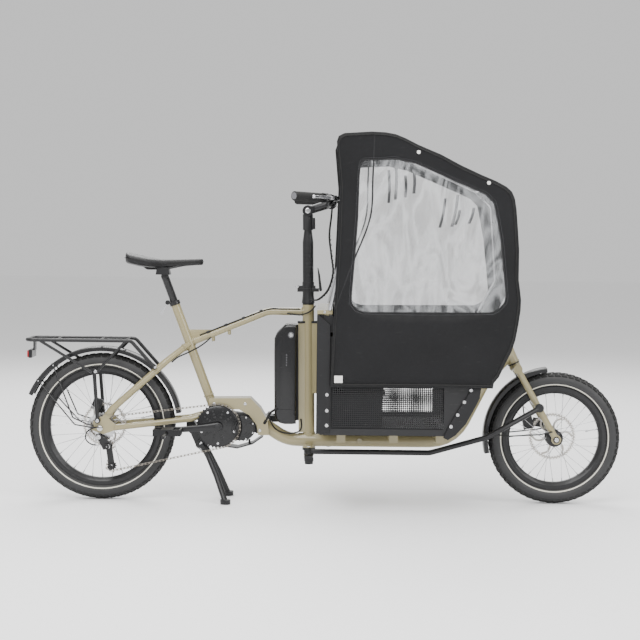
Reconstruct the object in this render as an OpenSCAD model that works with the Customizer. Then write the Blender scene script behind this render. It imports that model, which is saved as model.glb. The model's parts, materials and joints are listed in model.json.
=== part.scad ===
// Front-loading cargo bicycle with a mid motor, a low beam frame and a child canopy.
// +X is forward, +Y is the rider's left, +Z is up. The ground is Z = 0.

/* [Layout] */
// Distance of the rear axle behind the origin
rear_axle_x = 782; // [760:1:800]
// Distance between the two wheel axles
wheelbase = 1599; // [1590:1:1620]
// Distance of the crank axle behind the origin
crank_x = 371; // [366:1:376]
// Height of the crank axle
crank_z = 267; // [262:1:275]
// Distance of the steering column foot behind the origin
column_x = 51; // [46:1:56]
// Backward lean of the steering column in degrees
column_lean = 0.8; // [0:0.1:2]
// Angle of the front head tube from the ground in degrees
head_angle = 65.6; // [64:0.1:68]

/* [Wheels] */
// Outer radius of the rear tyre
rear_r = 259; // [250:1:262]
// Outer radius of the front tyre
front_r = 233; // [224:1:236]
// Width of both tyres
tyre_w = 56; // [50:1:58]
// Height of the rim, from its inner edge to its lip
rim_depth = 25; // [18:1:30]
// Spokes in each wheel
spokes = 32; // [24:4:36]
// Thickness of a spoke
spoke_d = 2; // [1.6:0.1:2.4]
// Radius of both wheel axles
axle_r = 6; // [5:0.5:7]
// Radius of the rear brake rotor
rear_rotor_r = 80; // [70:1:90]
// Radius of the front brake rotor
front_rotor_r = 85; // [80:1:92]

/* [Frame] */
// Diameter of the low beam and the seat-to-column curve
beam_d = 48; // [40:1:52]
// Height of the beam's centre line
beam_z = 217; // [212:1:222]
// Diameter of the steering column tube
column_d = 41; // [38:1:44]
// Diameter of the seat tube
seat_tube_d = 33; // [31:1:36]
// Diameter of the top tube
top_tube_d = 27; // [24:1:32]
// Diameter of the seat stays
seat_stay_d = 24; // [18:1:26]
// Diameter of the chain stays
chain_stay_d = 21; // [18:1:22]
// Half the distance between the rear dropouts
dropout_y = 71; // [70:1:74]

/* [Drive] */
// Crank arm length, axle to pedal axle
crank_len = 170; // [160:1:175]
// Angle of the right crank arm in degrees
crank_angle = 184; // [176:1:188]
// Pitch radius of the chain ring
ring_r = 77; // [70:1:80]
// Pitch radius of the working sprocket
cog_r = 34.6; // [30:0.1:38]
// Pitch radius of both derailleur pulleys
pulley_r = 18; // [16:0.5:20]
// Distance of the chain line to the right of the middle
chain_y = 50; // [49:0.5:51]

/* [Cargo box and canopy] */
// Half the outer width of the canopy
canopy_y = 300; // [290:1:310]
// Thickness of the canopy cloth and its edge tape
cloth = 5; // [4:0.5:6]
// Half the outer width of the side panels
box_y = 273; // [265:1:280]
// Height of the underside of the box floor
floor_z = 266; // [266:1:270]
// Thickness of the box floor
floor_t = 10; // [8:1:14]

/* [Seat] */
// Diameter of the seatpost
post_d = 27.2; // [25:0.1:28]
// Length of the seatpost, head to lower end
post_len = 300; // [280:1:330]

/* [Fits] */
// Radial play of a turning or sliding fit
fit = 0.05; // [0.02:0.01:0.1]
// Gap between separate pieces that only rest against each other
gap = 0.3; // [0.2:0.05:0.5]

/* [Hidden] */
$fn = 48;

tiny = 0.01;
rear_axle = [-rear_axle_x, 0, rear_r];
front_axle = [wheelbase - rear_axle_x, 0, front_r];
crank = [-crank_x, 0, crank_z];
seat_top = [-527, 0, 690];
seat_foot = [-400, 0, 354];
seat_dir = unit(seat_top - seat_foot);
column_foot = [-column_x, 0, 190];
column_top = 508;
head_dir = [-cos(head_angle), 0, sin(head_angle)];
head_foot = front_axle + [-147, 0, 265];
head_len = 104;
steerer_r = 14.3;
cog_x = -rear_axle_x;
tyre_h = 54;
upper_pulley_at = [-757, 196];
lower_pulley_at = [-743, 124];
chain_half = 4;
chain_w = 6.6;
stand_pivot = [-430, 0, 203];
box_front = [[412, 262], [440, 285], [466, 318], [488, 357], [508, 401], [520, 440], [556, 585]];
canopy_outline = [[21, 432], [31, 691], [42, 960], [47, 1112], [34, 1255], [40, 1273], [59, 1283],
    [106, 1286], [150, 1290], [197, 1288], [231, 1282], [264, 1269], [308, 1247], [383, 1216],
    [450, 1181], [518, 1150], [569, 1129], [603, 1111], [623, 1094], [633, 1070], [639, 1034],
    [645, 966], [650, 899], [650, 798], [655, 764], [659, 731], [658, 697], [651, 646], [642, 596],
    [629, 555], [609, 515], [589, 471], [572, 450], [569, 432]];
window_outline = [[125, 1194], [232, 1199], [299, 1185], [384, 1149], [485, 1106], [536, 1083],
    [563, 1056], [570, 1026], [588, 932], [599, 831], [608, 747], [603, 720], [580, 696],
    [557, 686], [136, 683], [109, 691], [88, 715], [88, 740], [97, 860], [106, 994], [110, 1146],
    [114, 1180]];

// ---- helpers -----------------------------------------------------------------------------

function unit(v) = v / norm(v);
function turn_of(a, b, c) = acos(min(1, max(-1, unit(b - a) * unit(c - b))));

// A round bar between two points
module rod(a, b, d) {
    v = b - a;
    translate(a) rotate([0, acos(v[2] / norm(v)), atan2(v[1], v[0])]) cylinder(h = norm(v), d = d);
}

// A tube along a list of points, with round bends
module bent_tube(points, bend, d, ref = [0, 1, 0], sides = 10, steps = 3)
    sweep(fillet(points, bend, steps), d, ref, sides);

// A flat plate in the X-Z plane, from y_low to y_high
module slab(points, y_low, y_high) {
    translate([0, y_high, 0]) rotate([90, 0, 0]) linear_extrude(height = y_high - y_low) polygon(points);
}

// A round disc across the bicycle, from y_low to y_high
module disc(x, z, r, y_low, y_high) {
    translate([x, y_high, z]) rotate([90, 0, 0]) cylinder(h = y_high - y_low, r = r);
}

// Both the piece and its mirror image on the other side
module both_sides() {
    children();
    mirror([0, 1, 0]) children();
}

// A turned profile about an axle that lies across the bicycle
module turned(at) {
    translate(at) rotate([90, 0, 0]) rotate_extrude($fn = 96) children();
}

// Puts a piece in the leaning frame of the steering column
module on_column() {
    translate(column_foot) rotate([0, -column_lean, 0]) children();
}

// Points of a band of the given depth inside an outline of the canopy
function inset(points, centre, depth) = [for (p = points) p - unit(p - centre) * depth];

// Tangent direction of a belt from circle 1 to circle 2; turn is 1 for clockwise, -1 for the other way
function belt_dir(c1, r1, t1, c2, r2, t2) =
    atan2(c2[1] - c1[1], c2[0] - c1[0]) - asin((t1 * r1 - t2 * r2) / norm(c2 - c1));
function belt_point(c, r, t, dir) = c + t * r * [-sin(dir), cos(dir)];
function wrap(a) = a - 360 * floor(a / 360);

// Points of a path with its corners rounded, n steps in each bend
function fillet(p, bend, n) = concat([p[0]], [for (i = [1:len(p) - 2])
    let(u = unit(p[i] - p[i - 1]), w = unit(p[i + 1] - p[i]), side = unit(w - (u * w) * u),
        turn = turn_of(p[i - 1], p[i], p[i + 1]), o = p[i] - u * bend * tan(turn / 2) + side * bend)
        for (k = [0:n]) o - side * bend * cos(turn * k / n) + u * bend * sin(turn * k / n)],
    [p[len(p) - 1]]);

// A sweep of a round tube along points, as one closed mesh; ref is never along the path
function path_dir(p, i) = unit(p[min(i + 1, len(p) - 1)] - p[max(i - 1, 0)]);
module sweep(p, d, ref = [0, 1, 0], sides = 8) {
    last = (len(p) - 1) * sides;
    rings = [for (i = [0:len(p) - 1])
        let(t = path_dir(p, i), s = unit(ref - (ref * t) * t), v = cross(t, s))
            for (j = [0:sides - 1]) p[i] + d / 2 * (s * cos(360 * j / sides) + v * sin(360 * j / sides))];
    walls = [for (i = [0:len(p) - 2]) for (j = [0:sides - 1]) [i * sides + j, (i + 1) * sides + j,
        (i + 1) * sides + (j + 1) % sides, i * sides + (j + 1) % sides]];
    polyhedron(points = rings, faces = concat(walls, [[for (j = [0:sides - 1]) j]],
        [[for (j = [sides - 1:-1:0]) last + j]]));
}

// A smooth curve through hand-set points
function catmull(a, b, c, d, t) = 0.5 * ((2 * b) + (c - a) * t + (2 * a - 5 * b + 4 * c - d) * t * t
    + (3 * b - a - 3 * c + d) * t * t * t);
function smooth(p, n) = concat([for (i = [0:len(p) - 2]) for (k = [0:n - 1])
    catmull(p[max(i - 1, 0)], p[i], p[i + 1], p[min(i + 2, len(p) - 1)], k / n)], [p[len(p) - 1]]);

// ---- frame -------------------------------------------------------------------------------

module main_frame() color("#beb48c") {
    difference() {
        union() {
            rod(seat_foot - seat_dir * 18, seat_top, seat_tube_d);
            bent_tube([seat_foot + seat_dir * 216, [-200, 0, 671], [-column_x - 8, 0, 671]], 90, top_tube_d,
                sides = 16, steps = 4);
            on_column() cylinder(h = column_top - 2, d = column_d);
            on_column() translate([-36, -16, 55]) cube([36, 32, 386]);
            on_column() translate([0, -16, 193]) cube([36, 32, 248]);
            on_column() cylinder(h = 12, d = column_d + 6);
            sweep(fillet([[-224, 0, 279.4], [-130, 0, beam_z], [458, 0, beam_z], [572, 0, 441],
                head_foot + head_dir * 36], 130, 5), beam_d, sides = 16);
            rod(head_foot, head_foot + head_dir * head_len, 42);
            slab(cradle, -42, 42);
            slab([[-490, 604], [-398, 604], [-392, 590], [-478, 554]], -4, 4);
            for (x = [60, 240, 400]) translate([x - 15, -200, beam_z + 15])
                cube([30, 400, floor_z - beam_z - 15]);
            both_sides() disc(128, beam_z, 9, 18, beam_d / 2 + 4);
            for (at = [[-392, 0, 578], [-336, 0, 602]]) rod(at, at - [0, 0, 14], 12);
        }
        rod(seat_foot + seat_dir * 40, seat_top + seat_dir * 2, post_d + 2 * fit);
        on_column() translate([0, 0, -2]) cylinder(h = column_top + 4, d = 34);
        rod(head_foot - head_dir * 2, head_foot + head_dir * (head_len + 2), 34);
        disc(-224, 252, 4.2, -50, 50);
    }
}

cradle = [[-404, 364], [-258, 366], [-222, 330], [-196, 286], [-192, 236], [-230, 236], [-236, 272],
    [-262, 306], [-298, 326], [-404, 326]];

// Seat stays, chain stays, dropouts and the two bridges, welded to the seat tube and the cradle
module rear_stays() color("#beb48c") difference() {
    union() {
        both_sides() {
            sweep(fillet([seat_foot + seat_dir * 214 + [0, 8, 0], [-560, 48, 488], [-744, dropout_y + 4, 323],
                [-774, dropout_y + 4, 278]], 60, 3), seat_stay_d, sides = 12);
            sweep(fillet([[-404, 30, 310], [-470, 36, 290], [-752, dropout_y + 4, 258]], 60, 3),
                chain_stay_d, sides = 12);
            slab([[-812, 252], [-806, 282], [-778, 300], [-752, 292], [-728, 272], [-740, 248], [-770, 238]],
                dropout_y, dropout_y + 6);
        }
        rod([-560, -44, 488], [-560, 44, 488], 14);
        rod([-474, -32, 290], [-474, 32, 290], 14);
    }
    rod(seat_foot - seat_dir * 18, seat_top, seat_tube_d);
    slab(cradle, -42, 42);
    disc(-crank_x, crank_z, 50 + gap, -50, 60);
    disc(-rear_axle_x, rear_r, axle_r + fit, -90, 90);
    both_sides() translate([-820, dropout_y + 6, 230]) cube([90, 20, 80]);
    both_sides() translate([-820, dropout_y - 20, 230]) cube([70, 20, 80]);
}

clamp_bolt = seat_top + seat_dir * 7 + [-25, 0, 2];
module seat_clamp() color("#3a3a3c") {
    difference() {
        union() {
            rod(seat_top + seat_dir * gap, seat_top + seat_dir * 14, seat_tube_d + 5);
            translate(clamp_bolt) rotate([90, 0, 0]) cylinder(h = 20, d = 16, center = true);
        }
        rod(seat_top - seat_dir * 2, seat_top + seat_dir * 20, post_d + 0.6);
        rod(seat_top - seat_dir * 8, seat_top + seat_dir * gap, seat_tube_d + 20);
    }
}

module seat_lever() color("silver") {
    at = clamp_bolt;
    disc(at[0], at[2], 7, 10 + gap, 18);
    slab([[at[0] - 7, at[2] - 4], [at[0] + 5, at[2] + 6], [at[0] - 6, at[2] - 12], [at[0] - 22, at[2] - 44],
        [at[0] - 29, at[2] - 40]], 12, 17);
}

module seatpost() color("#2b2b2d") {
    head = seat_top + seat_dir * 108;
    rod(head - seat_dir * post_len, head, post_d);
    translate(head) rotate([90, 0, 0]) cylinder(h = 34, d = 24, center = true);
    difference() {
        slab([[head[0] - 30, head[2] + 6], [head[0] + 20, head[2] + 6], [head[0] + 14, rail_z + 6],
            [head[0] - 26, rail_z + 6]], -29, 29);
        saddle_rail(rail_d + 2 * gap);
    }
}

rail_d = 7;
rail_z = 817;
module saddle_rail(d) both_sides()
    bent_tube([[-664, 24, 846], [-626, 22, rail_z], [-560, 21, rail_z], [-486, 10, 833]], 18, d, sides = 8);
module saddle_rails() color("#1e1e20") saddle_rail(rail_d);

module saddle() color("#222224") difference() {
    saddle_body();
    saddle_rail(rail_d + 2 * gap);
}
module saddle_body() {
    hull() {
        both_sides() translate([-678, 52, 856]) scale([1, 1.15, 0.8]) sphere(r = 24, $fn = 24);
        translate([-560, 0, 848]) scale([1, 1.9, 0.7]) sphere(r = 20, $fn = 24);
    }
    hull() {
        translate([-560, 0, 848]) scale([1, 1.9, 0.7]) sphere(r = 20, $fn = 24);
        translate([-446, 0, 840]) scale([1, 1.1, 0.6]) sphere(r = 18, $fn = 24);
    }
}

// ---- rack, lights and mudguards ------------------------------------------------------------

module rear_rack() color("#232325") {
    deck_z = 566;
    sweep(fillet([[-588, -71.5, 468], [-676, -75, deck_z], [-1041, -75, deck_z], [-1041, 75, deck_z],
        [-676, 75, deck_z], [-588, 71.5, 468]], 22, 4), 13, ref = [0, 0, 1], sides = 10);
    for (x = [-940, -788, -696]) sweep([[x, -72, deck_z], [x, 72, deck_z]], 8, ref = [0, 0, 1], sides = 10);
    both_sides() {
        sweep([[-993, 75, deck_z - 3], [-812, 78, 455]], 10);
        sweep([[-694, 75, deck_z - 3], [-796, 78, 455]], 10);
        sweep([[-804, 79, 468], [-790, dropout_y + 14, 286]], 13);
        sweep([[-790, dropout_y + 6 + gap, 286], [-790, dropout_y + 20, 286]], 20, ref = [0, 0, 1]);
    }
    translate([-1026, -20, 526]) cube([5, 40, deck_z - 526]);
    translate([-1036, -12, deck_z - 4]) cube([12, 24, 3]);
}

// Housing and lens of the tail light, two separate pieces
module tail_light() {
    color("#202022") translate([-1038, -45, 500]) cube([12 - gap, 90, 30]);
    color("#9c1518") translate([-1044.3, -43, 502]) cube([6, 86, 26]);
}

// A mudguard band about an axle; angles run from straight ahead, upwards and back
module mudguard_band(at, r, half_w, from_a, to_a) {
    translate(at) rotate([90, 0, 0]) rotate([0, 0, from_a]) rotate_extrude(angle = to_a - from_a, $fn = 96)
        polygon([[r, -half_w + 6], [r, half_w - 6], [r - 4, half_w], [r - 16, half_w],
            [r - 16, half_w - 2.5], [r - 5, half_w - 2.5], [r - 2.5, half_w - 7], [r - 2.5, -half_w + 7],
            [r - 5, -half_w + 2.5], [r - 16, -half_w + 2.5], [r - 16, -half_w], [r - 4, -half_w]]);
}

module rear_mudguard() color("#1c1c1e") {
    mudguard_band(rear_axle, 283, 32, 10.5, 156.5);
    both_sides() {
        bent_tube([[-1006, 32.6, 419], [-873, 62, 269], [-822, 80.2, 263], [-799, 80.2, 261]], 12, 5);
        bent_tube([[-955, 32.6, 476], [-880, 60, 293], [-828, 80.2, 273], [-804, 80.2, 268]], 12, 5);
    }
    translate([-560 - 14, -14, 470]) rotate([0, -44, 0]) translate([-12, 0, -2]) cube([12, 28, 8]);
}

module front_mudguard() color("#1c1c1e") {
    mudguard_band(front_axle, 252, 30, 97, 193);
    both_sides() bent_tube([[573, 31.5, 250], [650, 58, 243], [760, 75.3, 252], [802, 75.3, 262]], 30, 5);
    translate(head_foot - head_dir * 44.2) rotate([0, head_angle - 90, 0]) cube([22, 22, 16], center = true);
}

// ---- motor, drive and rear wheel -------------------------------------------------------------

module motor_housing() color("#1d1d1f") {
    difference() {
        union() {
            disc(-crank_x, crank_z, 50, -44, 58);
            disc(-284, 262, 45, -44, 58);
            slab([[-371, 317], [-284, 307], [-284, 217], [-371, 217]], -44, 58);
            disc(-224 - 10, 252, 10, -40, 40);
        }
        disc(-crank_x, crank_z, 10 + fit, -60, 60);
        slab([[-420, 325.7], [-298.2, 325.7], [-262.3, 305.8], [-236.3, 271.8], [-230.3, 235], [-180, 235],
            [-180, 420], [-420, 420]], -60, 60);
        rod([-224, 0, 279.4], [-130, 0, beam_z], beam_d + 2 * gap);
    }
}

module motor_covers() {
    motor_side_cover();
    skid_plate();
}

module motor_side_cover() color("#151517") difference() {
    union() {
        disc(-284, 262, 43, -62, -44 - gap);
        disc(-262, 262, 16, -65, -61);
    }
    disc(-crank_x, crank_z, ring_r + chain_half + 5, -70, -40);
    slab([[-262.3, 305.8], [-236.3, 271.8], [-180, 272], [-180, 420], [-262, 420]], -42, -40);
}

module skid_plate() color("#2a2a2c") {
    slab([[-392, 212], [-345, 197], [-303, 191], [-250, 207], [-215, 232], [-212, 229],
        [-248, 203], [-303, 187], [-346, 193], [-394, 208]], -42, 42);
    for (x = [-350, -262]) translate([x, 0, 0]) rod([0, 0, 196 + (x + 350) * 0.07], [0, 0, 216.6], 8);
}

module crank_arms() color("#2a2a2c") {
    rod(crank + [0, -92, 0], crank + [0, 92, 0], 20);
    for (side = [-1, 1]) {
        a = side < 0 ? crank_angle : crank_angle + 180;
        tip = crank + crank_len * [cos(a), 0, sin(a)];
        across = [-sin(a), 0, cos(a)];
        y_low = side < 0 ? -92 : 78;
        slab([for (p = [crank + across * 15, tip + across * 10, tip - across * 10, crank - across * 15])
            [p[0], p[2]]], y_low, y_low + 14);
        disc(crank[0], crank[2], 17, y_low, y_low + 14);
        disc(tip[0], tip[2], 12, y_low, y_low + 14);
        rod(tip + [0, side * 92, 0], tip + [0, side * 172, 0], 12);
    }
}

module chain_ring() color("#232325") {
    difference() {
        union() {
            disc(-crank_x, crank_z, ring_r - chain_half - gap, -52, -48);
            disc(-crank_x, crank_z, 46, -62, -52);
        }
        disc(-crank_x, crank_z, 10 + fit, -70, -40);
        for (k = [0:4]) {
            a = 72 * k + 36;
            disc(-crank_x + 60 * cos(a), crank_z + 60 * sin(a), 8, -70, -40);
        }
    }
}

module pedal(side) {
    a = side < 0 ? crank_angle : crank_angle + 180;
    tip = crank + crank_len * [cos(a), 0, sin(a)];
    y_in = side < 0 ? -174 : 94;
    color("#1a1a1c") difference() {
        translate([tip[0] - 48, y_in, tip[2] - 11]) cube([96, 80, 22]);
        rod(tip + [0, -200, 0], tip + [0, 200, 0], 12 + 2 * fit);
        for (x = [-31, 31]) translate([tip[0] + x - 11, y_in + 12, tip[2] - 12]) cube([22, 56, 24]);
    }
}
module pedal_right() pedal(-1);
module pedal_left() pedal(1);

// The chain's outer band, over ring, sprocket and pulleys
module chain() color("#8d8a82") {
    circles = [[[-crank_x, crank_z], ring_r, 1], [lower_pulley_at, pulley_r, 1],
        [upper_pulley_at, pulley_r, -1], [[cog_x, rear_r], cog_r, 1]];
    count = len(circles);
    dirs = [for (i = [0:count - 1]) let(a = circles[i], b = circles[(i + 1) % count])
        belt_dir(a[0], a[1], a[2], b[0], b[1], b[2])];
    for (i = [0:count - 1]) {
        c = circles[i];
        next = circles[(i + 1) % count];
        p = belt_point(c[0], c[1], c[2], dirs[i]);
        q = belt_point(next[0], next[1], next[2], dirs[i]);
        n = chain_half * [-sin(dirs[i]), cos(dirs[i])];
        slab([p + n, q + n, q - n, p - n], -chain_y - chain_w / 2, -chain_y + chain_w / 2);
        before = dirs[(i + count - 1) % count];
        start = c[2] > 0 ? dirs[i] + 90 : before - 90;
        sweep_a = c[2] > 0 ? wrap(before - dirs[i]) : wrap(dirs[i] - before);
        translate([c[0][0], -chain_y, c[0][1]]) rotate([90, 0, 0]) rotate([0, 0, start])
            rotate_extrude(angle = sweep_a, $fn = 64)
                translate([c[1] - chain_half, -chain_w / 2]) square([2 * chain_half, chain_w]);
    }
}

module cassette() color("#a8a39a") difference() {
    union() {
        for (k = [0:3]) disc(cog_x, rear_r, 52 - 4.5 * k, -37 - 3 * k, -35.2 - 3 * k);
        disc(cog_x, rear_r, 22, -62, -35);
        disc(cog_x, rear_r, cog_r - chain_half - gap, -chain_y - 1.2, -chain_y + 1.2);
        for (k = [0:1]) disc(cog_x, rear_r, 26 - 2 * k, -57 - 3.4 * k, -55 - 3.4 * k);
    }
    disc(cog_x, rear_r, axle_r + fit, -80, -20);
}

module derailleur() color("#3c3c3f") {
    slab([[-792, 226], [-776, 232], [-742, 206], [-750, 186], [-770, 184]], -86, -66);
    disc(upper_pulley_at[0], upper_pulley_at[1], 10, -67, -58);
    for (y = [-60, -44]) slab([[upper_pulley_at[0] - 9, upper_pulley_at[1] + 8],
        [upper_pulley_at[0] + 12, upper_pulley_at[1] + 4], [lower_pulley_at[0] + 10, lower_pulley_at[1] - 4],
        [lower_pulley_at[0] - 10, lower_pulley_at[1] - 8]], y, y + 2);
    for (at = [upper_pulley_at, lower_pulley_at]) disc(at[0], at[1], 3, -59, -43);
    slab([[-795, 238], [-780, 238], [-776, 228], [-790, 222]], -86, -dropout_y - 6 - gap);
}

module pulley(at) color("#2c2c2e") difference() {
    disc(at[0], at[1], pulley_r - chain_half - gap, -chain_y - 3, -chain_y + 3);
    disc(at[0], at[1], 3 + fit, -60, -40);
}
module upper_pulley() pulley(upper_pulley_at);
module lower_pulley() pulley(lower_pulley_at);

// Rim section of a wheel, in distance from the axle and side distance
function rim_points(lip) = [[lip - rim_depth, -9], [lip - rim_depth, 9], [lip - 13, 18], [lip, 18],
    [lip, 15], [lip - 6, 13], [lip - 6, -13], [lip, -15], [lip, -18], [lip - 13, -18]];
module rim_of(at, r) turned(at) polygon(rim_points(r - 50));
module tyre_of(at, r) turned(at) difference() {
    translate([r - tyre_h / 2, 0]) scale([tyre_h / tyre_w, 1]) circle(d = tyre_w, $fn = 64);
    translate([r - 50 - 30, -18]) square([30 + tiny, 36]);
    translate([r - 70, -13]) square([20, 26]);
}
module spokes_of(at, r, flange_r, flange_y) {
    for (k = [0:spokes - 1]) {
        side = k % 2 == 0 ? 1 : -1;
        lean = (floor(k / 2) % 2 == 0 ? 1 : -1) * 38;
        a = 360 * k / spokes;
        rod(at + [(flange_r + 0.5) * cos(a + lean), side * flange_y, (flange_r + 0.5) * sin(a + lean)],
            at + [(r - 50 - rim_depth - gap) * cos(a), side * 2.5, (r - 50 - rim_depth - gap) * sin(a)], spoke_d);
    }
}
module rotor_of(x, z, r, y, bore) difference() {
    disc(x, z, r, y, y + 2);
    disc(x, z, bore, y - 1, y + 3);
    for (k = [0:5]) {
        disc(x + (r * 0.56) * cos(60 * k), z + (r * 0.56) * sin(60 * k), r * 0.2, y - 1, y + 3);
    }
}

module rear_tyre() color("#222224") tyre_of(rear_axle, rear_r);
module rear_rim() color("#1b1b1d") rim_of(rear_axle, rear_r);
module rear_spokes() color("#2a2a2a") spokes_of(rear_axle, rear_r, 29, 26.5);
module rear_hub() color("#222224") turned(rear_axle) hub_profile(-60, 34, 26.5, 20);
module rear_rotor() color("#8f8b84") rotor_of(-rear_axle_x, rear_r, rear_rotor_r, 54, 20 + gap);
module rear_axle() color("#9a9a9c") {
    disc(-rear_axle_x, rear_r, axle_r, -dropout_y - 14, dropout_y + 14);
    both_sides() disc(-rear_axle_x, rear_r, 10, dropout_y + 6 + gap, dropout_y + 14);
    disc(-rear_axle_x, rear_r, 10, 62.5, dropout_y - gap);
    disc(-rear_axle_x, rear_r, 10, -dropout_y + gap, -62.5);
}

// Half profile of a hub; turning it about the axle puts y_left, below zero, on the rider's left
module hub_profile(y_left, y_right, flange_y, body_r) {
    difference() {
        union() {
            translate([0, y_left]) square([body_r - 3, y_right - y_left]);
            translate([0, -flange_y - 1.5]) square([29, 3]);
            translate([0, flange_y - 1.5]) square([29, 3]);
            translate([0, y_left + 4]) square([20 - tiny, 8]);
        }
        translate([-1, y_left - 1]) square([axle_r + fit + 1, y_right - y_left + 2]);
    }
}

module rear_caliper() color("#1c1c1e") difference() {
    union() {
        translate([-832, 44, 318]) rotate([0, 20, 0]) cube([34, 24, 40], center = false);
        slab([[-826, 300], [-810, 276], [-794, 272], [-789, 300], [-786, 330], [-806, 345]],
            66, dropout_y - gap);
    }
    disc(-rear_axle_x, rear_r, rear_rotor_r + 3, 53, 57);
}

// ---- kickstand and battery -------------------------------------------------------------------

module stand_bracket() color("#202022") difference() {
    union() {
        slab([[-470, 240], [-452, 266], [-400, 214], [-412, 186], [-446, 186]], -24, 24);
        slab([[-484, 262], [-484, 291], [-464, 291], [-448, 266], [-452, 240], [-472, 238]], -24, 24);
    }
    rod(stand_pivot + [0, -40, 0], stand_pivot + [0, 40, 0], 12 + 2 * fit);
    rod([-474, -36, 290], [-474, 36, 290], 14 + 2 * gap);
    disc(-crank_x, crank_z, 51, -60, 60);
}

module kickstand() color("#1b1b1d") {
    rod(stand_pivot + [0, -34, 0], stand_pivot + [0, 34, 0], 12);
    both_sides() {
        sweep(fillet([stand_pivot + [0, 35, 0], [-405, 35, 158], [-374, 62, 92], [-341, 100, 8]], 30, 3), 20,
            sides = 12);
        disc(stand_pivot[0], stand_pivot[2], 14, 24 + gap, 38);
        translate([-340, 101, 0]) cylinder(h = 16, r = 18);
    }
}

module battery_rail() color("#19191b") {
    on_column() translate([-46, -22, 98]) cube([10 - gap, 44, 338]);
    on_column() difference() {
        translate([-38, -18, 441 + gap]) cube([76, 36, 7]);
        translate([0, 0, 430]) cylinder(h = 30, d = column_d + 2 * gap);
    }
}

module battery() color("#1a1a1c") difference() {
    slab([[-97.5, 630], [-139, 630], [-176, 586], [-174, 300], [-160, 280], [-138, 274], [-93, 274]], -45, 45);
    disc(-117, 590, 7 + fit, -50, -30);
    on_column() translate([-46 - gap, -60, 60]) cube([40, 120, 420]);
}

module battery_lock() color("#5a5a5c") {
    disc(-117, 590, 7, -47, -32);
    translate([-119, -49, 586]) cube([4, 2.5, 8]);
}

// ---- steering --------------------------------------------------------------------------------

module headset_bearings() {
    column_bearings();
    fork_bearings();
}
module column_bearings() color("#18181a") on_column() {
    difference() {
        union() {
            translate([0, 0, -9]) cylinder(h = 9 - gap, d = 47);
            translate([0, 0, -gap]) cylinder(h = 14, d = 34 - 2 * fit);
            translate([0, 0, column_top - 2 - 14]) cylinder(h = 14 + gap, d = 34 - 2 * fit);
            translate([0, 0, column_top - 2 + gap]) cylinder(h = 5, d = column_d);
        }
        translate([0, 0, -20]) cylinder(h = column_top + 40, d = 30 + 2 * fit);
    }
}

module steering_column() color("#1e1e20") {
    on_column() {
        difference() {
            union() {
                translate([0, 0, -60]) cylinder(h = column_top + 70, d = 30);
                translate([0, 0, column_top + 4]) cylinder(h = 26, d1 = 46, d2 = 40);
                translate([0, 0, column_top + 30]) cylinder(h = 26, d = 40);
                translate([-38, -15, column_top + 44]) cube([76, 30, 12]);
            }
            translate([-60, -60, column_top + 56]) cube([120, 120, 40]);
        }
        translate([-38, 0, column_top + 56 + 5]) rotate([90, 0, 0]) cylinder(h = 12, d = 12, center = true);
        translate([0, 0, -50]) cylinder(h = 12, d = 34);
        translate([0, 0, -28]) cylinder(h = 17, d = 36);
    }
    difference() {
        translate([0, 0, 0]) slab([[-column_x - 16, 162], [-column_x + 16, 162], [-column_x + 16, 172],
            [-column_x - 16, 172]], -100, 0);
        on_column() translate([0, 0, -80]) cylinder(h = 120, d = 29);
    }
    translate([-column_x, -88, 171]) cylinder(h = 22, d = 8);
}

module fold_lever() color("#b0b0b2") on_column() {
    translate([44, 0, column_top + 50]) rotate([90, 0, 0]) cylinder(h = 12, d = 10, center = true);
    slab([[39, column_top + 50], [49, column_top + 50], [42, column_top + 104], [36, column_top + 128],
        [33, column_top + 128]], -6, 6);
}

module bar_post() color("#2e2e30") on_column() {
    base = column_top + 56;
    difference() {
        union() {
            translate([0, 0, base + gap]) cylinder(h = 22, d = 42);
            translate([-38, -15, base + gap]) cube([64, 30, 9]);
            translate([-38, 0, base + 5]) rotate([90, 0, 0]) cylinder(h = 30, d = 10 - 2 * gap, center = true);
            translate([0, 0, base + 20]) cylinder(h = 142, d = 38);
            translate([0, 0, base + 162]) cylinder(h = 46, d1 = 38, d2 = 26);
            translate([0, 0, base + 208]) cylinder(h = 40, d = 26);
            translate([0, 0, base + 205]) cylinder(h = 56, d = 36);
            translate([14, -10, base + 208]) cube([12, 20, 40]);
            both_sides() translate([0, 20, base + 273]) rotate([90, 0, 0]) cylinder(h = 8, r = 19);
            translate([-8, -12, base + 250]) cube([16, 24, 26]);
        }
        translate([-38, 0, base + 5]) rotate([90, 0, 0]) cylinder(h = 12 + 2 * gap, d = 13, center = true);
    }
    translate([0, 0, base + 273]) rotate([90, 0, 0]) cylinder(h = 23.4, r = 14, center = true);
    stem_arm([0, 0, base + 273], bar_centre_local);
}
bar_from_foot = [19, 0, 1053] - column_foot;
bar_centre_local = [cos(column_lean) * bar_from_foot[0] + sin(column_lean) * bar_from_foot[2], 0,
    cos(column_lean) * bar_from_foot[2] - sin(column_lean) * bar_from_foot[0]];

// The stem from its pivot to the handlebar clamp
module stem_arm(from, to) {
    dir = unit(to - from);
    difference() {
        union() {
            rod(from, to - dir * 14, 30);
            translate(to) rotate([90, 0, 0]) cylinder(h = 46, r = 20, center = true);
        }
        translate(to) rotate([90, 0, 0]) cylinder(h = 60, r = 15.9 + fit, center = true);
        both_sides() translate([from[0] - 40, 12, from[2] - 30]) cube([64, 20, 60]);
    }
}

bar_centre = [19, 0, 1053];
bar_left = [bar_centre + [0, 24, 0], bar_centre + [0, 75, 0], [24, 205, 1066], [-104, 336, 1071]];
grip_dir = unit(bar_left[3] - bar_left[2]);
bar_d = 22.2;

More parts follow.
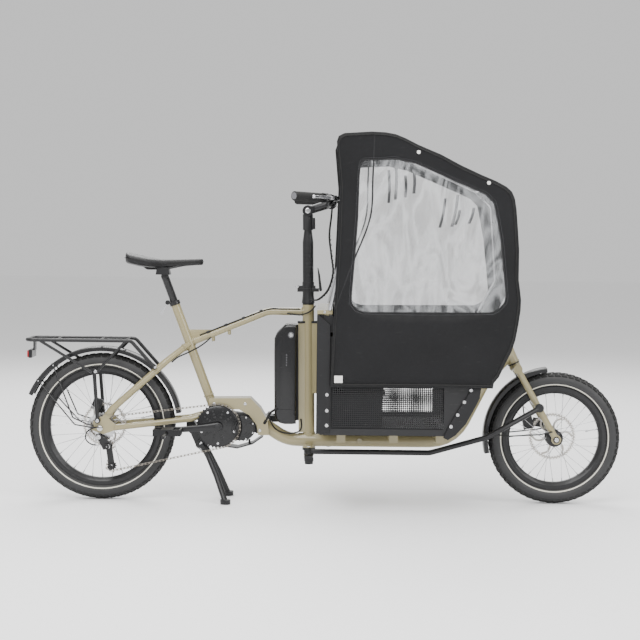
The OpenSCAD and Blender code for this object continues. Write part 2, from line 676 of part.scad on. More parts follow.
module handlebar() color("#1d1d1f") {
    rod(bar_centre + [0, -30, 0], bar_centre + [0, 30, 0], 31.8);
    both_sides() sweep(fillet(bar_left, 42, 6), bar_d, ref = [0, 0, 1], sides = 14);
    both_sides() lever_mount();
}

module grips() color("#161618") both_sides() difference() {
    rod(bar_left[3] - grip_dir * 128, bar_left[3] + grip_dir * 4, 32);
    rod(bar_left[3] - grip_dir * 140, bar_left[3] + grip_dir * 0.2, bar_d + 2 * fit);
}

// Brake levers; each turns in a forked mount that is clamped round the bar
lever_n = unit([grip_dir[1], -grip_dir[0], 0]);
lever_base = bar_left[3] - grip_dir * 142;
lever_pivot = lever_base + lever_n * 34;
lever_up = [0, 0, 6];
module lever_mount() difference() {
    union() {
        rod(lever_base - grip_dir * 9, lever_base + grip_dir * 9, 34);
        rod(lever_base + lever_n * 8, lever_pivot + lever_n * 3, 21);
    }
    rod(lever_base - grip_dir * 20, lever_base + grip_dir * 20, bar_d + 2 * fit);
    rod(lever_pivot - lever_up - [0, 0, gap], lever_pivot + lever_up + [0, 0, gap], 28);
}
module brake_blade() {
    tip = lever_pivot + grip_dir * 88 + lever_n * 2;
    bent_tube([lever_pivot, lever_pivot + grip_dir * 22 + lever_n * 6, tip], 10, 9, ref = [0, 0, 1]);
    rod(lever_pivot - lever_up, lever_pivot + lever_up, 16);
    translate(tip) sphere(d = 12);
}
module brake_lever_right() color("#2a2a2c") mirror([0, 1, 0]) brake_blade();
module brake_lever_left() color("#2a2a2c") brake_blade();

crown = head_foot - head_dir * 20;
module fork() color("#beb48c") difference() {
    union() {
        rod(crown - head_dir * 2, head_foot + head_dir * (head_len + 14), 2 * steerer_r);
        rod(crown - [0, 74, 0], crown + [0, 74, 0], 31);
        both_sides() rod(crown + [0, 61, 0], front_axle + [0, 61, 0], 23);
        rod(crown, head_foot - head_dir * 5, 40);
        both_sides() disc(front_axle[0], front_axle[2], 17, 54, 67);
        rod([752, -92, 348], [752, -61, 348], 9);
    }
    disc(front_axle[0], front_axle[2], axle_r + fit, -90, 90);
    both_sides() disc(front_axle[0], front_axle[2], 11 + gap, 67, 80);
}

// Mudguard, brake caliper and axle of the front wheel, three separate pieces
module fork_fittings() {
    front_mudguard();
    color("#1e1e20") difference() {
        union() {
            translate([716, 33, 256]) rotate([0, -12, 0]) cube([36, 23, 46]);
            slab([[742, 270], [788, 262], [784, 294], [750, 300]], 48, 52);
        }
        disc(front_axle[0], front_axle[2], front_rotor_r + 3, 43, 47);
        rod(crown + [0, 61, 0], front_axle + [0, 61, 0], 23 + 2 * gap);
    }
    color("#9a9a9c") {
        disc(front_axle[0], front_axle[2], axle_r, -74, 74);
        both_sides() disc(front_axle[0], front_axle[2], 11, 67 + gap, 74);
    }
}

module fork_bearings() color("#18181a") difference() {
    union() {
        rod(head_foot - head_dir * 4, head_foot - head_dir * gap, 44);
        rod(head_foot - head_dir * gap, head_foot + head_dir * 12, 34 - 2 * fit);
        rod(head_foot + head_dir * (head_len - 12), head_foot + head_dir * (head_len + gap), 34 - 2 * fit);
        rod(head_foot + head_dir * (head_len + gap), head_foot + head_dir * (head_len + 10), 44);
    }
    rod(head_foot - head_dir * 10, head_foot + head_dir * (head_len + 20), 2 * steerer_r + 4 * fit);
}

module front_tyre() color("#222224") tyre_of(front_axle, front_r);
module front_rim() color("#1b1b1d") rim_of(front_axle, front_r);
// Hub shell and brake rotor, two separate pieces
module front_hub() {
    color("#222224") turned(front_axle) hub_profile(-48, 48, 24, 18);
    color("#8f8b84") rotor_of(front_axle[0], front_axle[2], front_rotor_r, 44, 20 + gap);
}
module front_spokes() color("#2a2a2a") spokes_of(front_axle, front_r, 29, 24);

module steering_rod() color("#1b1b1d") {
    rear = [-column_x, -88, 186];
    front = [752, -99, 348];
    difference() {
        union() {
            bent_tube([rear + [6, 0, 0], [371, -108, 188], [570, -114, 245], front - [4, 0, 3]], 60, 19, sides = 14);
            translate(rear - [0, 0, 8]) cylinder(h = 14, d = 24);
            rod(front + [0, -9, 0], front + [0, 5, 0], 30);
        }
        translate(rear - [0, 0, 20]) cylinder(h = 40, d = 8 + 2 * fit);
        rod(front + [0, -5, 0], front + [0, 20, 0], 25);
    }
}

// ---- cargo box and canopy --------------------------------------------------------------------

module box_floor() color("#2a2a2c") slab([[-2, floor_z], [404, floor_z], [414, floor_z + floor_t],
    [-2, floor_z + floor_t]], -box_y + 12, box_y - 12);

module box_side_panels() color("#1f1f21") both_sides()
    slab(concat([[-2, floor_z + 8], [402, floor_z + 8]], [for (i = [1:6]) box_front[i] - [4, 0]],
        [[548, 600], [-2, 600]]), box_y - 3, box_y);

// Rear wall and curved front wall of the box
module box_end_panels() {
    box_rear_panel();
    box_front_panel();
}
module box_rear_panel() color("#1c1c1e") slab([[-14, floor_z], [-2 - gap, floor_z], [-2 - gap, 676], [-14, 676]],
    -box_y + 4, box_y - 4);

module box_front_panel() color("#1c1c1e")
    slab(concat([for (i = [1:6]) box_front[i]], [[546, 588]],
        [for (i = [5:-1:1]) box_front[i] - [9, 0]], [[400, floor_z + floor_t + gap], [414.3, floor_z + floor_t + gap], [418, floor_z + 4]]),
        -box_y + 4, box_y - 4);

module box_corner_covers() color("#242426") both_sides() {
    slab([[-26, 271], [20, 271], [20, 640], [-20, 672], [-26, 672]], box_y + gap, box_y + 12);
    slab([[404, 262], [420, 254], [447, 272], [480, 309], [504, 353], [526, 397], [530, 431],
        [500, 431], [480, 397], [454, 356], [427, 309]], box_y + gap, box_y + 12);
    slab([[-26, 271], [-15, 271], [-15, 672], [-26, 672]], box_y - 30, box_y + 12);
}

module box_rim() color("#1b1b1d") {
    translate([-26, -box_y - 12, 676.3]) cube([52, 2 * box_y + 24, 13]);
    both_sides() slab([[-2, 600.3], [553, 600.3], [560, 614], [-2, 614]], box_y - 14, box_y);
    both_sides() slab([[534, 602], [554, 602], [560, 614], [560, 618], [534, 618]], box_y - 14, canopy_y - 6);
    both_sides() slab([[-2, 614], [14, 614], [14, 676.3], [-2, 676.3]], box_y - 14, box_y - 2);
}

module seat_bench() color("#2e2e30") {
    slab([[0, 392], [210, 400], [210, 408], [0, 400]], -220, 220);
    both_sides() slab([[20, floor_z + floor_t + gap], [200, floor_z + floor_t + gap], [200, 399.6], [20, 392.8]],
        196, 204);
}

module seat_cushion() color("#3a3b3e") {
    slab([[52, 402.4], [66, 448], [200, 456], [212, 440], [208, 408.3]], -210, 210);
    slab([[0, 400.4], [48, 402.2], [58, 450], [34, 655], [10, 662], [0, 640]], -210, 210);
}

module canopy() color("#2b2b2d") {
    middle = [330, 850];
    inner = inset(canopy_outline, middle, cloth);
    difference() {
        union() {
            both_sides() difference() {
                slab(canopy_outline, canopy_y - cloth, canopy_y);
                slab(window_outline, canopy_y - cloth - 1, canopy_y + 1);
            }
            difference() {
                slab(canopy_outline, -canopy_y, canopy_y);
                slab(concat([[20, 400]], [for (i = [1:len(inner) - 1]) inner[i]], [[564, 400]]), -canopy_y - 1, canopy_y + 1);
                translate([-10, -canopy_y + cloth, 400]) cube([160, 2 * (canopy_y - cloth), 868]);
            }
            slab([[28, 691], [148, 1000], [158, 1284], [163, 1284], [153, 999], [33, 690], [33, 690.6]],
                -canopy_y + cloth - 0.5, canopy_y - cloth + 0.5);
        }
        translate([540, -48, 400]) cube([200, 96, 235]);
        hoop_tubes(2 * gap);
    }
}

module canopy_windows() color("#dfe6ea", 0.35) both_sides()
    slab(window_outline, canopy_y - 3.4, canopy_y - 1.4);

module hoop_tubes(extra) {
    y = canopy_y - cloth - 6 - gap;
    both_sides() sweep(fillet([[16, y, 690.1], [66, y, 900], [70, y, 1262], [200, y, 1268], [554, y, 1108],
        [612, y, 1050], [632, y, 780], [548, y, 621.2]], 20, 3), 12 + extra);
    for (at = [[200, 1268], [554, 1108]]) rod([at[0], -y + 3, at[1]], [at[0], y - 3, at[1]], 10 + extra);
}
module canopy_hoops() color("#8a8a8c") hoop_tubes(0);

// ---- cables ------------------------------------------------------------------------------------

frame_cable_routes = [
    [[-400, -12.8, 577], [-424, -24, 556], [-450, -30, 539], [-484, -36, 522], [-514, -42, 508], [-534, -52, 491]],
    [[-132, -15.6, 665], [-100, -22, 661], [-79, -26, 662], [-50, -28, 674], [-32, -28, 694]],
    [[-41, 24, 385], [-44, 25, 330], [-42, 25, 267], [-24, 27, 214], [10, 26, 192], [34, 20, 194]],
    [[-191, -26, 290], [-168, -24, 256], [-130, -26, 242], [-92, -24, 246], [-78, -19.2, 262], [-80, -19, 292]]];
module frame_cables() color("#141416") for (route = frame_cable_routes) sweep(smooth(route, 3), 5);

bar_cable_route = [[-46, -26.2, 712], [-20, -40, 716], [12, -52, 750], [28, -60, 810], [22, -74, 870],
    [14, -96, 940], [20, -124, 1010], [22, -150, 1046.9]];
module control_cables() color("#141416") both_sides() sweep(smooth(bar_cable_route, 3), 7);

// ---- drawing -----------------------------------------------------------------------------------

main_frame();
rear_stays();
seat_clamp();
rear_rack();
tail_light();
rear_mudguard();
motor_housing();
motor_covers();
battery_rail();
rear_caliper();
stand_bracket();
rear_axle();
headset_bearings();
derailleur();
chain();
frame_cables();
box_floor();
box_side_panels();
box_end_panels();
box_corner_covers();
box_rim();
seat_bench();
seat_cushion();
canopy();
canopy_windows();
canopy_hoops();
rear_tyre();
rear_rim();
rear_spokes();
rear_hub();
rear_rotor();
cassette();
crank_arms();
chain_ring();
pedal_right();
pedal_left();
upper_pulley();
lower_pulley();
kickstand();
battery();
battery_lock();
seatpost();
saddle();
saddle_rails();
seat_lever();
steering_column();
fold_lever();
bar_post();
handlebar();
grips();
brake_lever_right();
brake_lever_left();
fork();
fork_fittings();
front_tyre();
front_rim();
front_hub();
front_spokes();
steering_rod();
control_cables();
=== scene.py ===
"""Looks of the front-loading cargo bicycle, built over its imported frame.

Lengths in the classes are millimetres in the frame of the part; Shape turns them into metres.
"""
import json
import logging
import math
from dataclasses import dataclass, field
from enum import Enum

import bmesh
import bpy
from mathutils import Matrix, Vector, noise

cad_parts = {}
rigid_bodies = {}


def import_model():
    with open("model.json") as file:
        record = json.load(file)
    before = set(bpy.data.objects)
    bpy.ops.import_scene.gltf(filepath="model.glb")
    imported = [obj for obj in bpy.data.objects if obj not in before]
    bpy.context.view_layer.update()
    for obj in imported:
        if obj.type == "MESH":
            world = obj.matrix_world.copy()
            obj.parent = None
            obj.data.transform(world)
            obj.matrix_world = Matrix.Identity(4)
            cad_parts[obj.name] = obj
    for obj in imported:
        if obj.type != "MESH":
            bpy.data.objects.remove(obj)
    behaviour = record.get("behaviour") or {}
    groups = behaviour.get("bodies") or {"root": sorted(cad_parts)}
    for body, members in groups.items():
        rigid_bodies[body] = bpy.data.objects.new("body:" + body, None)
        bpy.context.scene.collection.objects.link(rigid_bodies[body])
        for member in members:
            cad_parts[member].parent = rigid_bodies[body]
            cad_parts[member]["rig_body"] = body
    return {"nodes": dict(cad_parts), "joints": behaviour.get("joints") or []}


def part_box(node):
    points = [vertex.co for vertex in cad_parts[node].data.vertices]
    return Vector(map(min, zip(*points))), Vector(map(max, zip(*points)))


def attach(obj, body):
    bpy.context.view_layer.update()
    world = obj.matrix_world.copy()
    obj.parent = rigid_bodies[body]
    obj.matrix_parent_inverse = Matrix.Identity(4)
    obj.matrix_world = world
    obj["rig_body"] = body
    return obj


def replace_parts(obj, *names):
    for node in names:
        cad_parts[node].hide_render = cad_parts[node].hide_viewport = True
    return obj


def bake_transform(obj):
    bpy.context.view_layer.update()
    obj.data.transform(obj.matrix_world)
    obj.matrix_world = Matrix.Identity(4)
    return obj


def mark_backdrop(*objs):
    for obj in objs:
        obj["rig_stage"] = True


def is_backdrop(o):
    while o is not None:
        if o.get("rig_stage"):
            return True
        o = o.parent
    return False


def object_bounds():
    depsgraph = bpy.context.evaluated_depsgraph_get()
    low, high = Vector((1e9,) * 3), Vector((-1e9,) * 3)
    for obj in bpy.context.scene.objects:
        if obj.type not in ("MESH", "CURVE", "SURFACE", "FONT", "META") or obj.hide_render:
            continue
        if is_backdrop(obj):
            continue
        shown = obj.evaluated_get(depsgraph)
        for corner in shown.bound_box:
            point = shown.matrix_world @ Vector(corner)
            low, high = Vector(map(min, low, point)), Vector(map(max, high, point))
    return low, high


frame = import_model()

LOG = logging.getLogger("cargo_bicycle")
MM = 0.001
Socket = bpy.types.NodeSocket
Tree = bpy.types.NodeTree
Node = bpy.types.Node
Item = bpy.types.Object
Material = bpy.types.Material
Rgb = tuple[float, float, float]
Points = list[Vector]


# ---- finishes ------------------------------------------------------------------------------


def new_group(name: str, inputs: dict[str, tuple[str, object]], outputs: dict[str, str]) -> Tree:
    """An empty shader node group with named sockets.

    Args:
        name: Name of the group.
        inputs: Socket name to its type and default value, or None for no default.
        outputs: Socket name to its type.

    Returns:
        The group with its input and output nodes, named "in" and "out".
    """
    group = bpy.data.node_groups.new(name, "ShaderNodeTree")
    for label, (kind, value) in inputs.items():
        socket = group.interface.new_socket(label, in_out="INPUT", socket_type=kind)
        if value is not None:
            socket.default_value = value
    for label, kind in outputs.items():
        group.interface.new_socket(label, in_out="OUTPUT", socket_type=kind)
    group.nodes.new("NodeGroupInput").name = "in"
    group.nodes.new("NodeGroupOutput").name = "out"
    return group


def add_node(tree: Tree, kind: str, links: dict[str | int, object] | None = None,
             **settings: object) -> Node:
    """One node with its sockets linked or set.

    Args:
        tree: The tree that the node goes into.
        kind: Type name of the node.
        links: Input socket, by name or number, to an output socket or a plain value.
        settings: Attributes of the node itself.

    Returns:
        The new node.
    """
    node = tree.nodes.new(kind)
    for key, value in settings.items():
        setattr(node, key, value)
    for socket, value in (links or {}).items():
        if isinstance(value, Socket):
            tree.links.new(value, node.inputs[socket])
        else:
            node.inputs[socket].default_value = value
    return node


def maths(tree: Tree, operation: str, first: object, second: object = 0.0) -> Socket:
    """The result socket of one Math node on two values."""
    return add_node(tree, "ShaderNodeMath", {0: first, 1: second}, operation=operation).outputs[0]


def mixed(tree: Tree, factor: object, first: object, second: object) -> Socket:
    """The colour between two colours."""
    node = add_node(tree, "ShaderNodeMix", data_type="RGBA")
    for key, value in ((0, factor), (6, first), (7, second)):
        if isinstance(value, Socket):
            tree.links.new(value, node.inputs[key])
        else:
            node.inputs[key].default_value = value
    return node.outputs[2]


class Groups:
    """The effects that several materials share, each built once."""

    made: dict[str, Tree] = {}

    @classmethod
    def grain(cls) -> Tree:
        """Cloudy colour, uneven gloss and a fine surface grain."""
        if "grain" in cls.made:
            return cls.made["grain"]
        group = new_group("surface grain", {
            "Vector": ("NodeSocketVector", None), "Colour": ("NodeSocketColor", (0.5, 0.5, 0.5, 1)),
            "Fine": ("NodeSocketFloat", 900.0), "Broad": ("NodeSocketFloat", 9.0),
            "Shade": ("NodeSocketFloat", 0.15), "Gloss": ("NodeSocketFloat", 0.4),
            "Uneven": ("NodeSocketFloat", 0.1)},
            {"Colour": "NodeSocketColor", "Roughness": "NodeSocketFloat", "Height": "NodeSocketFloat"})
        start, end = group.nodes["in"], group.nodes["out"]
        fine = add_node(group, "ShaderNodeTexNoise", {"Vector": start.outputs["Vector"],
                                                      "Scale": start.outputs["Fine"], "Detail": 3.0})
        broad = add_node(group, "ShaderNodeTexNoise", {"Vector": start.outputs["Vector"],
                                                       "Scale": start.outputs["Broad"], "Detail": 4.0})
        both = maths(group, "ADD", maths(group, "MULTIPLY", fine.outputs[0], 0.5), broad.outputs[0])
        amount = maths(group, "MULTIPLY", maths(group, "SUBTRACT", both, 0.45), start.outputs["Shade"])
        dark = add_node(group, "ShaderNodeHueSaturation", {"Value": maths(group, "SUBTRACT", 1.0, amount),
                                                           "Color": start.outputs["Colour"]})
        swing = maths(group, "MULTIPLY", maths(group, "SUBTRACT", broad.outputs[0], 0.5),
                      start.outputs["Uneven"])
        group.links.new(dark.outputs[0], end.inputs["Colour"])
        group.links.new(maths(group, "ADD", start.outputs["Gloss"], swing), end.inputs["Roughness"])
        group.links.new(fine.outputs[0], end.inputs["Height"])
        cls.made["grain"] = group
        return group

    @classmethod
    def wear(cls) -> Tree:
        """Thin scuffs and settled dust, as one lighter colour over the finish."""
        if "wear" in cls.made:
            return cls.made["wear"]
        group = new_group("dust and scuffs", {
            "Vector": ("NodeSocketVector", None), "Colour": ("NodeSocketColor", (0.5, 0.5, 0.5, 1)),
            "Dust": ("NodeSocketFloat", 0.1), "Scuff": ("NodeSocketFloat", 0.1)},
            {"Colour": "NodeSocketColor", "Mask": "NodeSocketFloat"})
        start, end = group.nodes["in"], group.nodes["out"]
        facing = add_node(group, "ShaderNodeSeparateXYZ",
                          {0: add_node(group, "ShaderNodeNewGeometry").outputs["Normal"]})
        cloud = add_node(group, "ShaderNodeTexNoise", {"Vector": start.outputs["Vector"], "Scale": 34.0,
                                                       "Detail": 6.0})
        top = maths(group, "MULTIPLY", maths(group, "MAXIMUM", facing.outputs[2], 0.0), cloud.outputs[0])
        dust = maths(group, "MULTIPLY", top, start.outputs["Dust"])
        long = add_node(group, "ShaderNodeMapping", {"Vector": start.outputs["Vector"],
                                                     "Scale": (30.0, 420.0, 160.0)})
        scratch = add_node(group, "ShaderNodeTexNoise", {"Vector": long.outputs[0], "Scale": 1.0,
                                                         "Detail": 8.0})
        peak = maths(group, "MULTIPLY", maths(group, "SUBTRACT", scratch.outputs[0], 0.63), 7.0)
        scuff = maths(group, "MULTIPLY", maths(group, "MINIMUM", maths(group, "MAXIMUM", peak, 0.0), 1.0),
                      start.outputs["Scuff"])
        mask = maths(group, "MINIMUM", maths(group, "ADD", dust, scuff), 1.0)
        group.links.new(mixed(group, mask, start.outputs["Colour"], (0.42, 0.41, 0.38, 1)),
                        end.inputs["Colour"])
        group.links.new(mask, end.inputs["Mask"])
        cls.made["wear"] = group
        return group

    @classmethod
    def weave(cls) -> Tree:
        """A plain cloth weave that reads on any face, as a height and a thread mask."""
        if "weave" in cls.made:
            return cls.made["weave"]
        group = new_group("plain weave", {"Vector": ("NodeSocketVector", None),
                                          "Threads": ("NodeSocketFloat", 900.0)},
                          {"Height": "NodeSocketFloat", "Mask": "NodeSocketFloat"})
        start, end = group.nodes["in"], group.nodes["out"]
        shaky = add_node(group, "ShaderNodeTexNoise", {"Vector": start.outputs["Vector"], "Scale": 55.0})
        wobble = add_node(group, "ShaderNodeVectorMath", {0: shaky.outputs["Color"], "Scale": 0.0012},
                          operation="SCALE")
        moved = add_node(group, "ShaderNodeVectorMath", {0: start.outputs["Vector"], 1: wobble.outputs[0]},
                         operation="ADD")
        axes = add_node(group, "ShaderNodeSeparateXYZ", {0: moved.outputs[0]})
        waves = [maths(group, "SINE", maths(group, "MULTIPLY", axes.outputs[k],
                                            maths(group, "MULTIPLY", start.outputs["Threads"], 6.2832)))
                 for k in range(3)]
        total = maths(group, "ADD", maths(group, "MULTIPLY", waves[0], waves[2]),
                      maths(group, "MULTIPLY", waves[1], maths(group, "ADD", waves[0], waves[2])))
        group.links.new(maths(group, "MULTIPLY_ADD", total, 0.5), end.inputs["Height"])
        group.links.new(maths(group, "GREATER_THAN", total, 0.3), end.inputs["Mask"])
        cls.made["weave"] = group
        return group


def shade_tree(name: str) -> tuple[Material, Tree, Node, Socket]:
    """A new material with its tree, its Principled shader and its object coordinates."""
    material = bpy.data.materials.new(name)
    material.use_nodes = True
    tree = material.node_tree
    shader = tree.nodes["Principled BSDF"]
    place = tree.nodes.new("ShaderNodeTexCoord").outputs["Object"]
    return material, tree, shader, place


def use_group(tree: Tree, group: Tree, links: dict[str, object]) -> Node:
    """A group placed in a material, with its sockets linked or set."""
    node = tree.nodes.new("ShaderNodeGroup")
    node.node_tree = group
    for socket, value in links.items():
        if isinstance(value, Socket):
            tree.links.new(value, node.inputs[socket])
        else:
            node.inputs[socket].default_value = value
    return node


def bump(tree: Tree, shader: Node, height: Socket, depth: float) -> None:
    """Raises the surface by a height, at most depth metres."""
    node = add_node(tree, "ShaderNodeBump", {"Height": height, "Strength": 0.6, "Distance": depth})
    tree.links.new(node.outputs[0], shader.inputs["Normal"])


@dataclass(frozen=True)
class Finish:
    """A hard finish: paint, moulded plastic, metal or rubber, by its own values.

    Attributes:
        name: Name of the material.
        slot: Slot of the record that the finish belongs to. It is not used.
        colour: Base colour, linear.
        gloss: Roughness of the surface.
        metal: 1 for bare metal, 0 for anything else.
        coat: Weight of the clear coat.
        fine: Grains to a metre.
        depth: Depth of the grain in metres.
        dust: Share of dust on faces that look up.
        scuff: Share of scuffs.
        shade: Strength of the cloudy colour.
    """

    name: str
    slot: str
    colour: Rgb
    gloss: float = 0.4
    metal: float = 0.0
    coat: float = 0.0
    fine: float = 1500.0
    depth: float = 0.0002
    dust: float = 0.06
    scuff: float = 0.05
    shade: float = 0.25

    def material(self) -> Material:
        """The material, built at its first use."""
        if self.name in bpy.data.materials:
            return bpy.data.materials[self.name]
        material, tree, shader, place = shade_tree(self.name)
        grain = use_group(tree, Groups.grain(), {"Vector": place, "Colour": (*self.colour, 1),
                                                 "Fine": self.fine, "Shade": self.shade, "Gloss": self.gloss,
                                                 "Uneven": 0.18})
        wear = use_group(tree, Groups.wear(), {"Vector": place, "Colour": grain.outputs["Colour"],
                                               "Dust": self.dust, "Scuff": self.scuff})
        tree.links.new(wear.outputs["Colour"], shader.inputs["Base Color"])
        rough = maths(tree, "ADD", grain.outputs["Roughness"], maths(tree, "MULTIPLY",
                                                                     wear.outputs["Mask"], 0.4))
        tree.links.new(rough, shader.inputs["Roughness"])
        shader.inputs["Metallic"].default_value = self.metal
        shader.inputs["Coat Weight"].default_value = self.coat
        shader.inputs["Coat Roughness"].default_value = 0.08
        shader.inputs["Specular IOR Level"].default_value = 0.5 if self.metal else 0.3
        bump(tree, shader, grain.outputs["Height"], self.depth)
        return material


@dataclass(frozen=True)
class ClothFinish:
    """Woven cloth with a soft sheen.

    Attributes:
        name: Name of the material.
        slot: Slot of the record. It is not used.
        colour: Colour of the threads.
        between: Colour between the threads.
        threads: Threads to a metre.
        sheen: Weight of the sheen.
    """

    name: str
    slot: str
    colour: Rgb
    between: Rgb
    threads: float = 700.0
    sheen: float = 0.25

    def material(self) -> Material:
        """The material, built at its first use."""
        if self.name in bpy.data.materials:
            return bpy.data.materials[self.name]
        material, tree, shader, place = shade_tree(self.name)
        weave = use_group(tree, Groups.weave(), {"Vector": place, "Threads": self.threads})
        grain = use_group(tree, Groups.grain(), {"Vector": place, "Fine": 420.0, "Broad": 6.0, "Shade": 0.5,
                                                 "Gloss": 0.82, "Uneven": 0.15,
                                                 "Colour": mixed(tree, weave.outputs["Mask"],
                                                                 (*self.between, 1), (*self.colour, 1))})
        wear = use_group(tree, Groups.wear(), {"Vector": place,
                                               "Colour": grain.outputs["Colour"], "Dust": 0.05,
                                               "Scuff": 0.02})
        tree.links.new(wear.outputs["Colour"], shader.inputs["Base Color"])
        tree.links.new(grain.outputs["Roughness"], shader.inputs["Roughness"])
        shader.inputs["Sheen Weight"].default_value = self.sheen
        shader.inputs["Specular IOR Level"].default_value = 0.25
        bump(tree, shader, weave.outputs["Height"], 0.0004)
        return material


@dataclass(frozen=True)
class TyreFinish:
    """Tyre rubber with a pale reflecting stripe round the side wall.

    Attributes:
        name: Name of the material.
        axle: Place of the axle in metres.
        stripe: Radius of the stripe in metres.
        slot: Slot of the record. It is not used.
    """

    name: str
    axle: tuple[float, float]
    stripe: float
    slot: str = "tyre_rubber"

    def material(self) -> Material:
        """The material, built at its first use."""
        if self.name in bpy.data.materials:
            return bpy.data.materials[self.name]
        material, tree, shader, place = shade_tree(self.name)
        spot = add_node(tree, "ShaderNodeSeparateXYZ", {0: place})
        x = maths(tree, "SUBTRACT", spot.outputs[0], self.axle[0])
        z = maths(tree, "SUBTRACT", spot.outputs[2], self.axle[1])
        radius = maths(tree, "SQRT", maths(tree, "ADD", maths(tree, "MULTIPLY", x, x),
                                           maths(tree, "MULTIPLY", z, z)))
        off = maths(tree, "ABSOLUTE", maths(tree, "SUBTRACT", radius, self.stripe))
        band = maths(tree, "LESS_THAN", off, 0.0019)
        around = maths(tree, "MULTIPLY", maths(tree, "ARCTAN2", z, x), 70.0)
        ribs = maths(tree, "SINE", maths(tree, "MULTIPLY", radius, 2400.0))
        grain = use_group(tree, Groups.grain(), {"Vector": place, "Colour": (0.022, 0.022, 0.023, 1),
                                                 "Fine": 1300.0, "Shade": 0.5, "Gloss": 0.62, "Uneven": 0.2})
        wear = use_group(tree, Groups.wear(), {"Vector": place,
                                               "Colour": grain.outputs["Colour"], "Dust": 0.12,
                                               "Scuff": 0.05})
        tree.links.new(mixed(tree, band, wear.outputs["Colour"], (0.62, 0.60, 0.52, 1)),
                       shader.inputs["Base Color"])
        tree.links.new(grain.outputs["Roughness"], shader.inputs["Roughness"])
        height = maths(tree, "ADD", maths(tree, "MULTIPLY", ribs, 0.25),
                       maths(tree, "MULTIPLY", maths(tree, "SINE", around), 0.1))
        bump(tree, shader, maths(tree, "ADD", height, grain.outputs["Height"]), 0.0004)
        return material


@dataclass(frozen=True)
class FilmFinish:
    """Clear soft film, slightly hazed, with shallow wrinkles and a painted highlight in streaks along the
    creases of the wrinkles.

    Attributes:
        name: Name of the material.
        slot: Slot of the record. It is not used.
        haze: Share of the film that is seen as milky.
    """

    name: str = "clear film"
    slot: str = "window_film"
    haze: float = 0.03

    def material(self) -> Material:
        """The material, built at its first use."""
        if self.name in bpy.data.materials:
            return bpy.data.materials[self.name]
        material, tree, shader, place = shade_tree(self.name)
        long = add_node(tree, "ShaderNodeMapping", {"Vector": place, "Scale": (7.0, 7.0, 2.6),
                                                    "Rotation": (0.0, 0.5, 0.0)})
        folds = add_node(tree, "ShaderNodeTexNoise", {"Vector": long.outputs[0], "Scale": 1.6, "Detail": 5.0,
                                                      "Distortion": 1.4})
        # Ridges of the fold noise, where the streaks of painted highlight go.
        ridge = maths(tree, "SUBTRACT", 1.0, maths(tree, "MULTIPLY", maths(
            tree, "ABSOLUTE", maths(tree, "SUBTRACT", folds.outputs[0], 0.5)), 9.0))
        painted_crease_highlight = maths(tree, "MAXIMUM", ridge, 0.0)
        cloud = use_group(tree, Groups.grain(), {"Vector": place, "Colour": (0.9, 0.92, 0.94, 1),
                                                 "Fine": 300.0, "Broad": 5.0, "Shade": 0.1, "Gloss": 0.1,
                                                 "Uneven": 0.12})
        tree.links.new(cloud.outputs["Colour"], shader.inputs["Base Color"])
        tree.links.new(cloud.outputs["Roughness"], shader.inputs["Roughness"])
        # Opacity of the pale film: the even milky haze, plus painted highlight streaks along the creases.
        haze_and_painted_highlight = maths(tree, "ADD", self.haze, maths(tree, "MULTIPLY", painted_crease_highlight, 0.13))
        tree.links.new(haze_and_painted_highlight, shader.inputs["Alpha"])
        bump(tree, shader, folds.outputs[0], 0.02)
        return material


PAINT = Finish("sand paint", "frame_paint", (0.275, 0.237, 0.125), 0.30, coat=0.7, fine=2600, depth=0.00004,
               dust=0.03, scuff=0.02, shade=0.12)
POWDER = Finish("black powder coat", "black_paint", (0.010, 0.010, 0.011), 0.38, coat=0.15, fine=2200,
                depth=0.00012)
MOULDED = Finish("moulded black plastic", "black_plastic", (0.009, 0.009, 0.010), 0.5,
                 fine=1400, depth=0.0003)
SMOOTH = Finish("smooth black plastic", "gloss_black", (0.008, 0.008, 0.009), 0.24, coat=0.2, fine=1800,
                depth=0.00005)
RUBBER = Finish("soft rubber", "rubber", (0.010, 0.010, 0.010), 0.68, fine=900, depth=0.0003, shade=0.4)
STEEL = Finish("bright steel", "steel", (0.60, 0.60, 0.61), 0.26, metal=1.0, fine=1700,
               depth=0.00006, dust=0.02)
ROTOR = Finish("ground steel", "rotor_steel", (0.50, 0.47, 0.43), 0.33, metal=1.0, fine=2600, depth=0.00008)
ALLOY = Finish("brushed alloy", "alloy", (0.66, 0.66, 0.68), 0.3, metal=1.0, fine=1900,
               depth=0.00006, dust=0.02)
CHAIN = Finish("oiled chain steel", "chain_steel", (0.33, 0.30, 0.26), 0.35, metal=1.0, scuff=0.2)
GREY = Finish("grey plastic", "black_plastic", (0.16, 0.16, 0.17), 0.42, fine=1500, depth=0.0002)
LENS = Finish("red lens", "lens", (0.42, 0.012, 0.015), 0.14, coat=0.8, fine=350, depth=0.0006, dust=0.0)
AMBER = Finish("amber reflector", "lens", (0.75, 0.22, 0.02), 0.2, coat=0.6, fine=350, depth=0.0006, dust=0.0)
COVER = Finish("saddle cover", "saddle_cover", (0.009, 0.009, 0.010), 0.44, fine=1100,
               depth=0.0004, shade=0.35)
TAG = Finish("white tag", "seat_cloth", (0.78, 0.77, 0.74), 0.6, fine=700, depth=0.0003)
CANOPY = ClothFinish("black canopy cloth", "canopy_cloth", (0.009, 0.009, 0.010),
                     (0.005, 0.005, 0.006), 850.0, 0.12)
SEAT = ClothFinish("dark seat cloth", "seat_cloth", (0.06, 0.062, 0.068), (0.03, 0.03, 0.033), 420.0, 0.3)
WEBBING = ClothFinish("black webbing", "canopy_cloth", (0.02, 0.02, 0.022), (0.01, 0.01, 0.011), 1400.0, 0.2)
FILM = FilmFinish()
AnyFinish = Finish | ClothFinish | TyreFinish | FilmFinish


# ---- shapes --------------------------------------------------------------------------------


def at(x: float, y: float, z: float) -> Vector:
    """A point in millimetres."""
    return Vector((x, y, z))


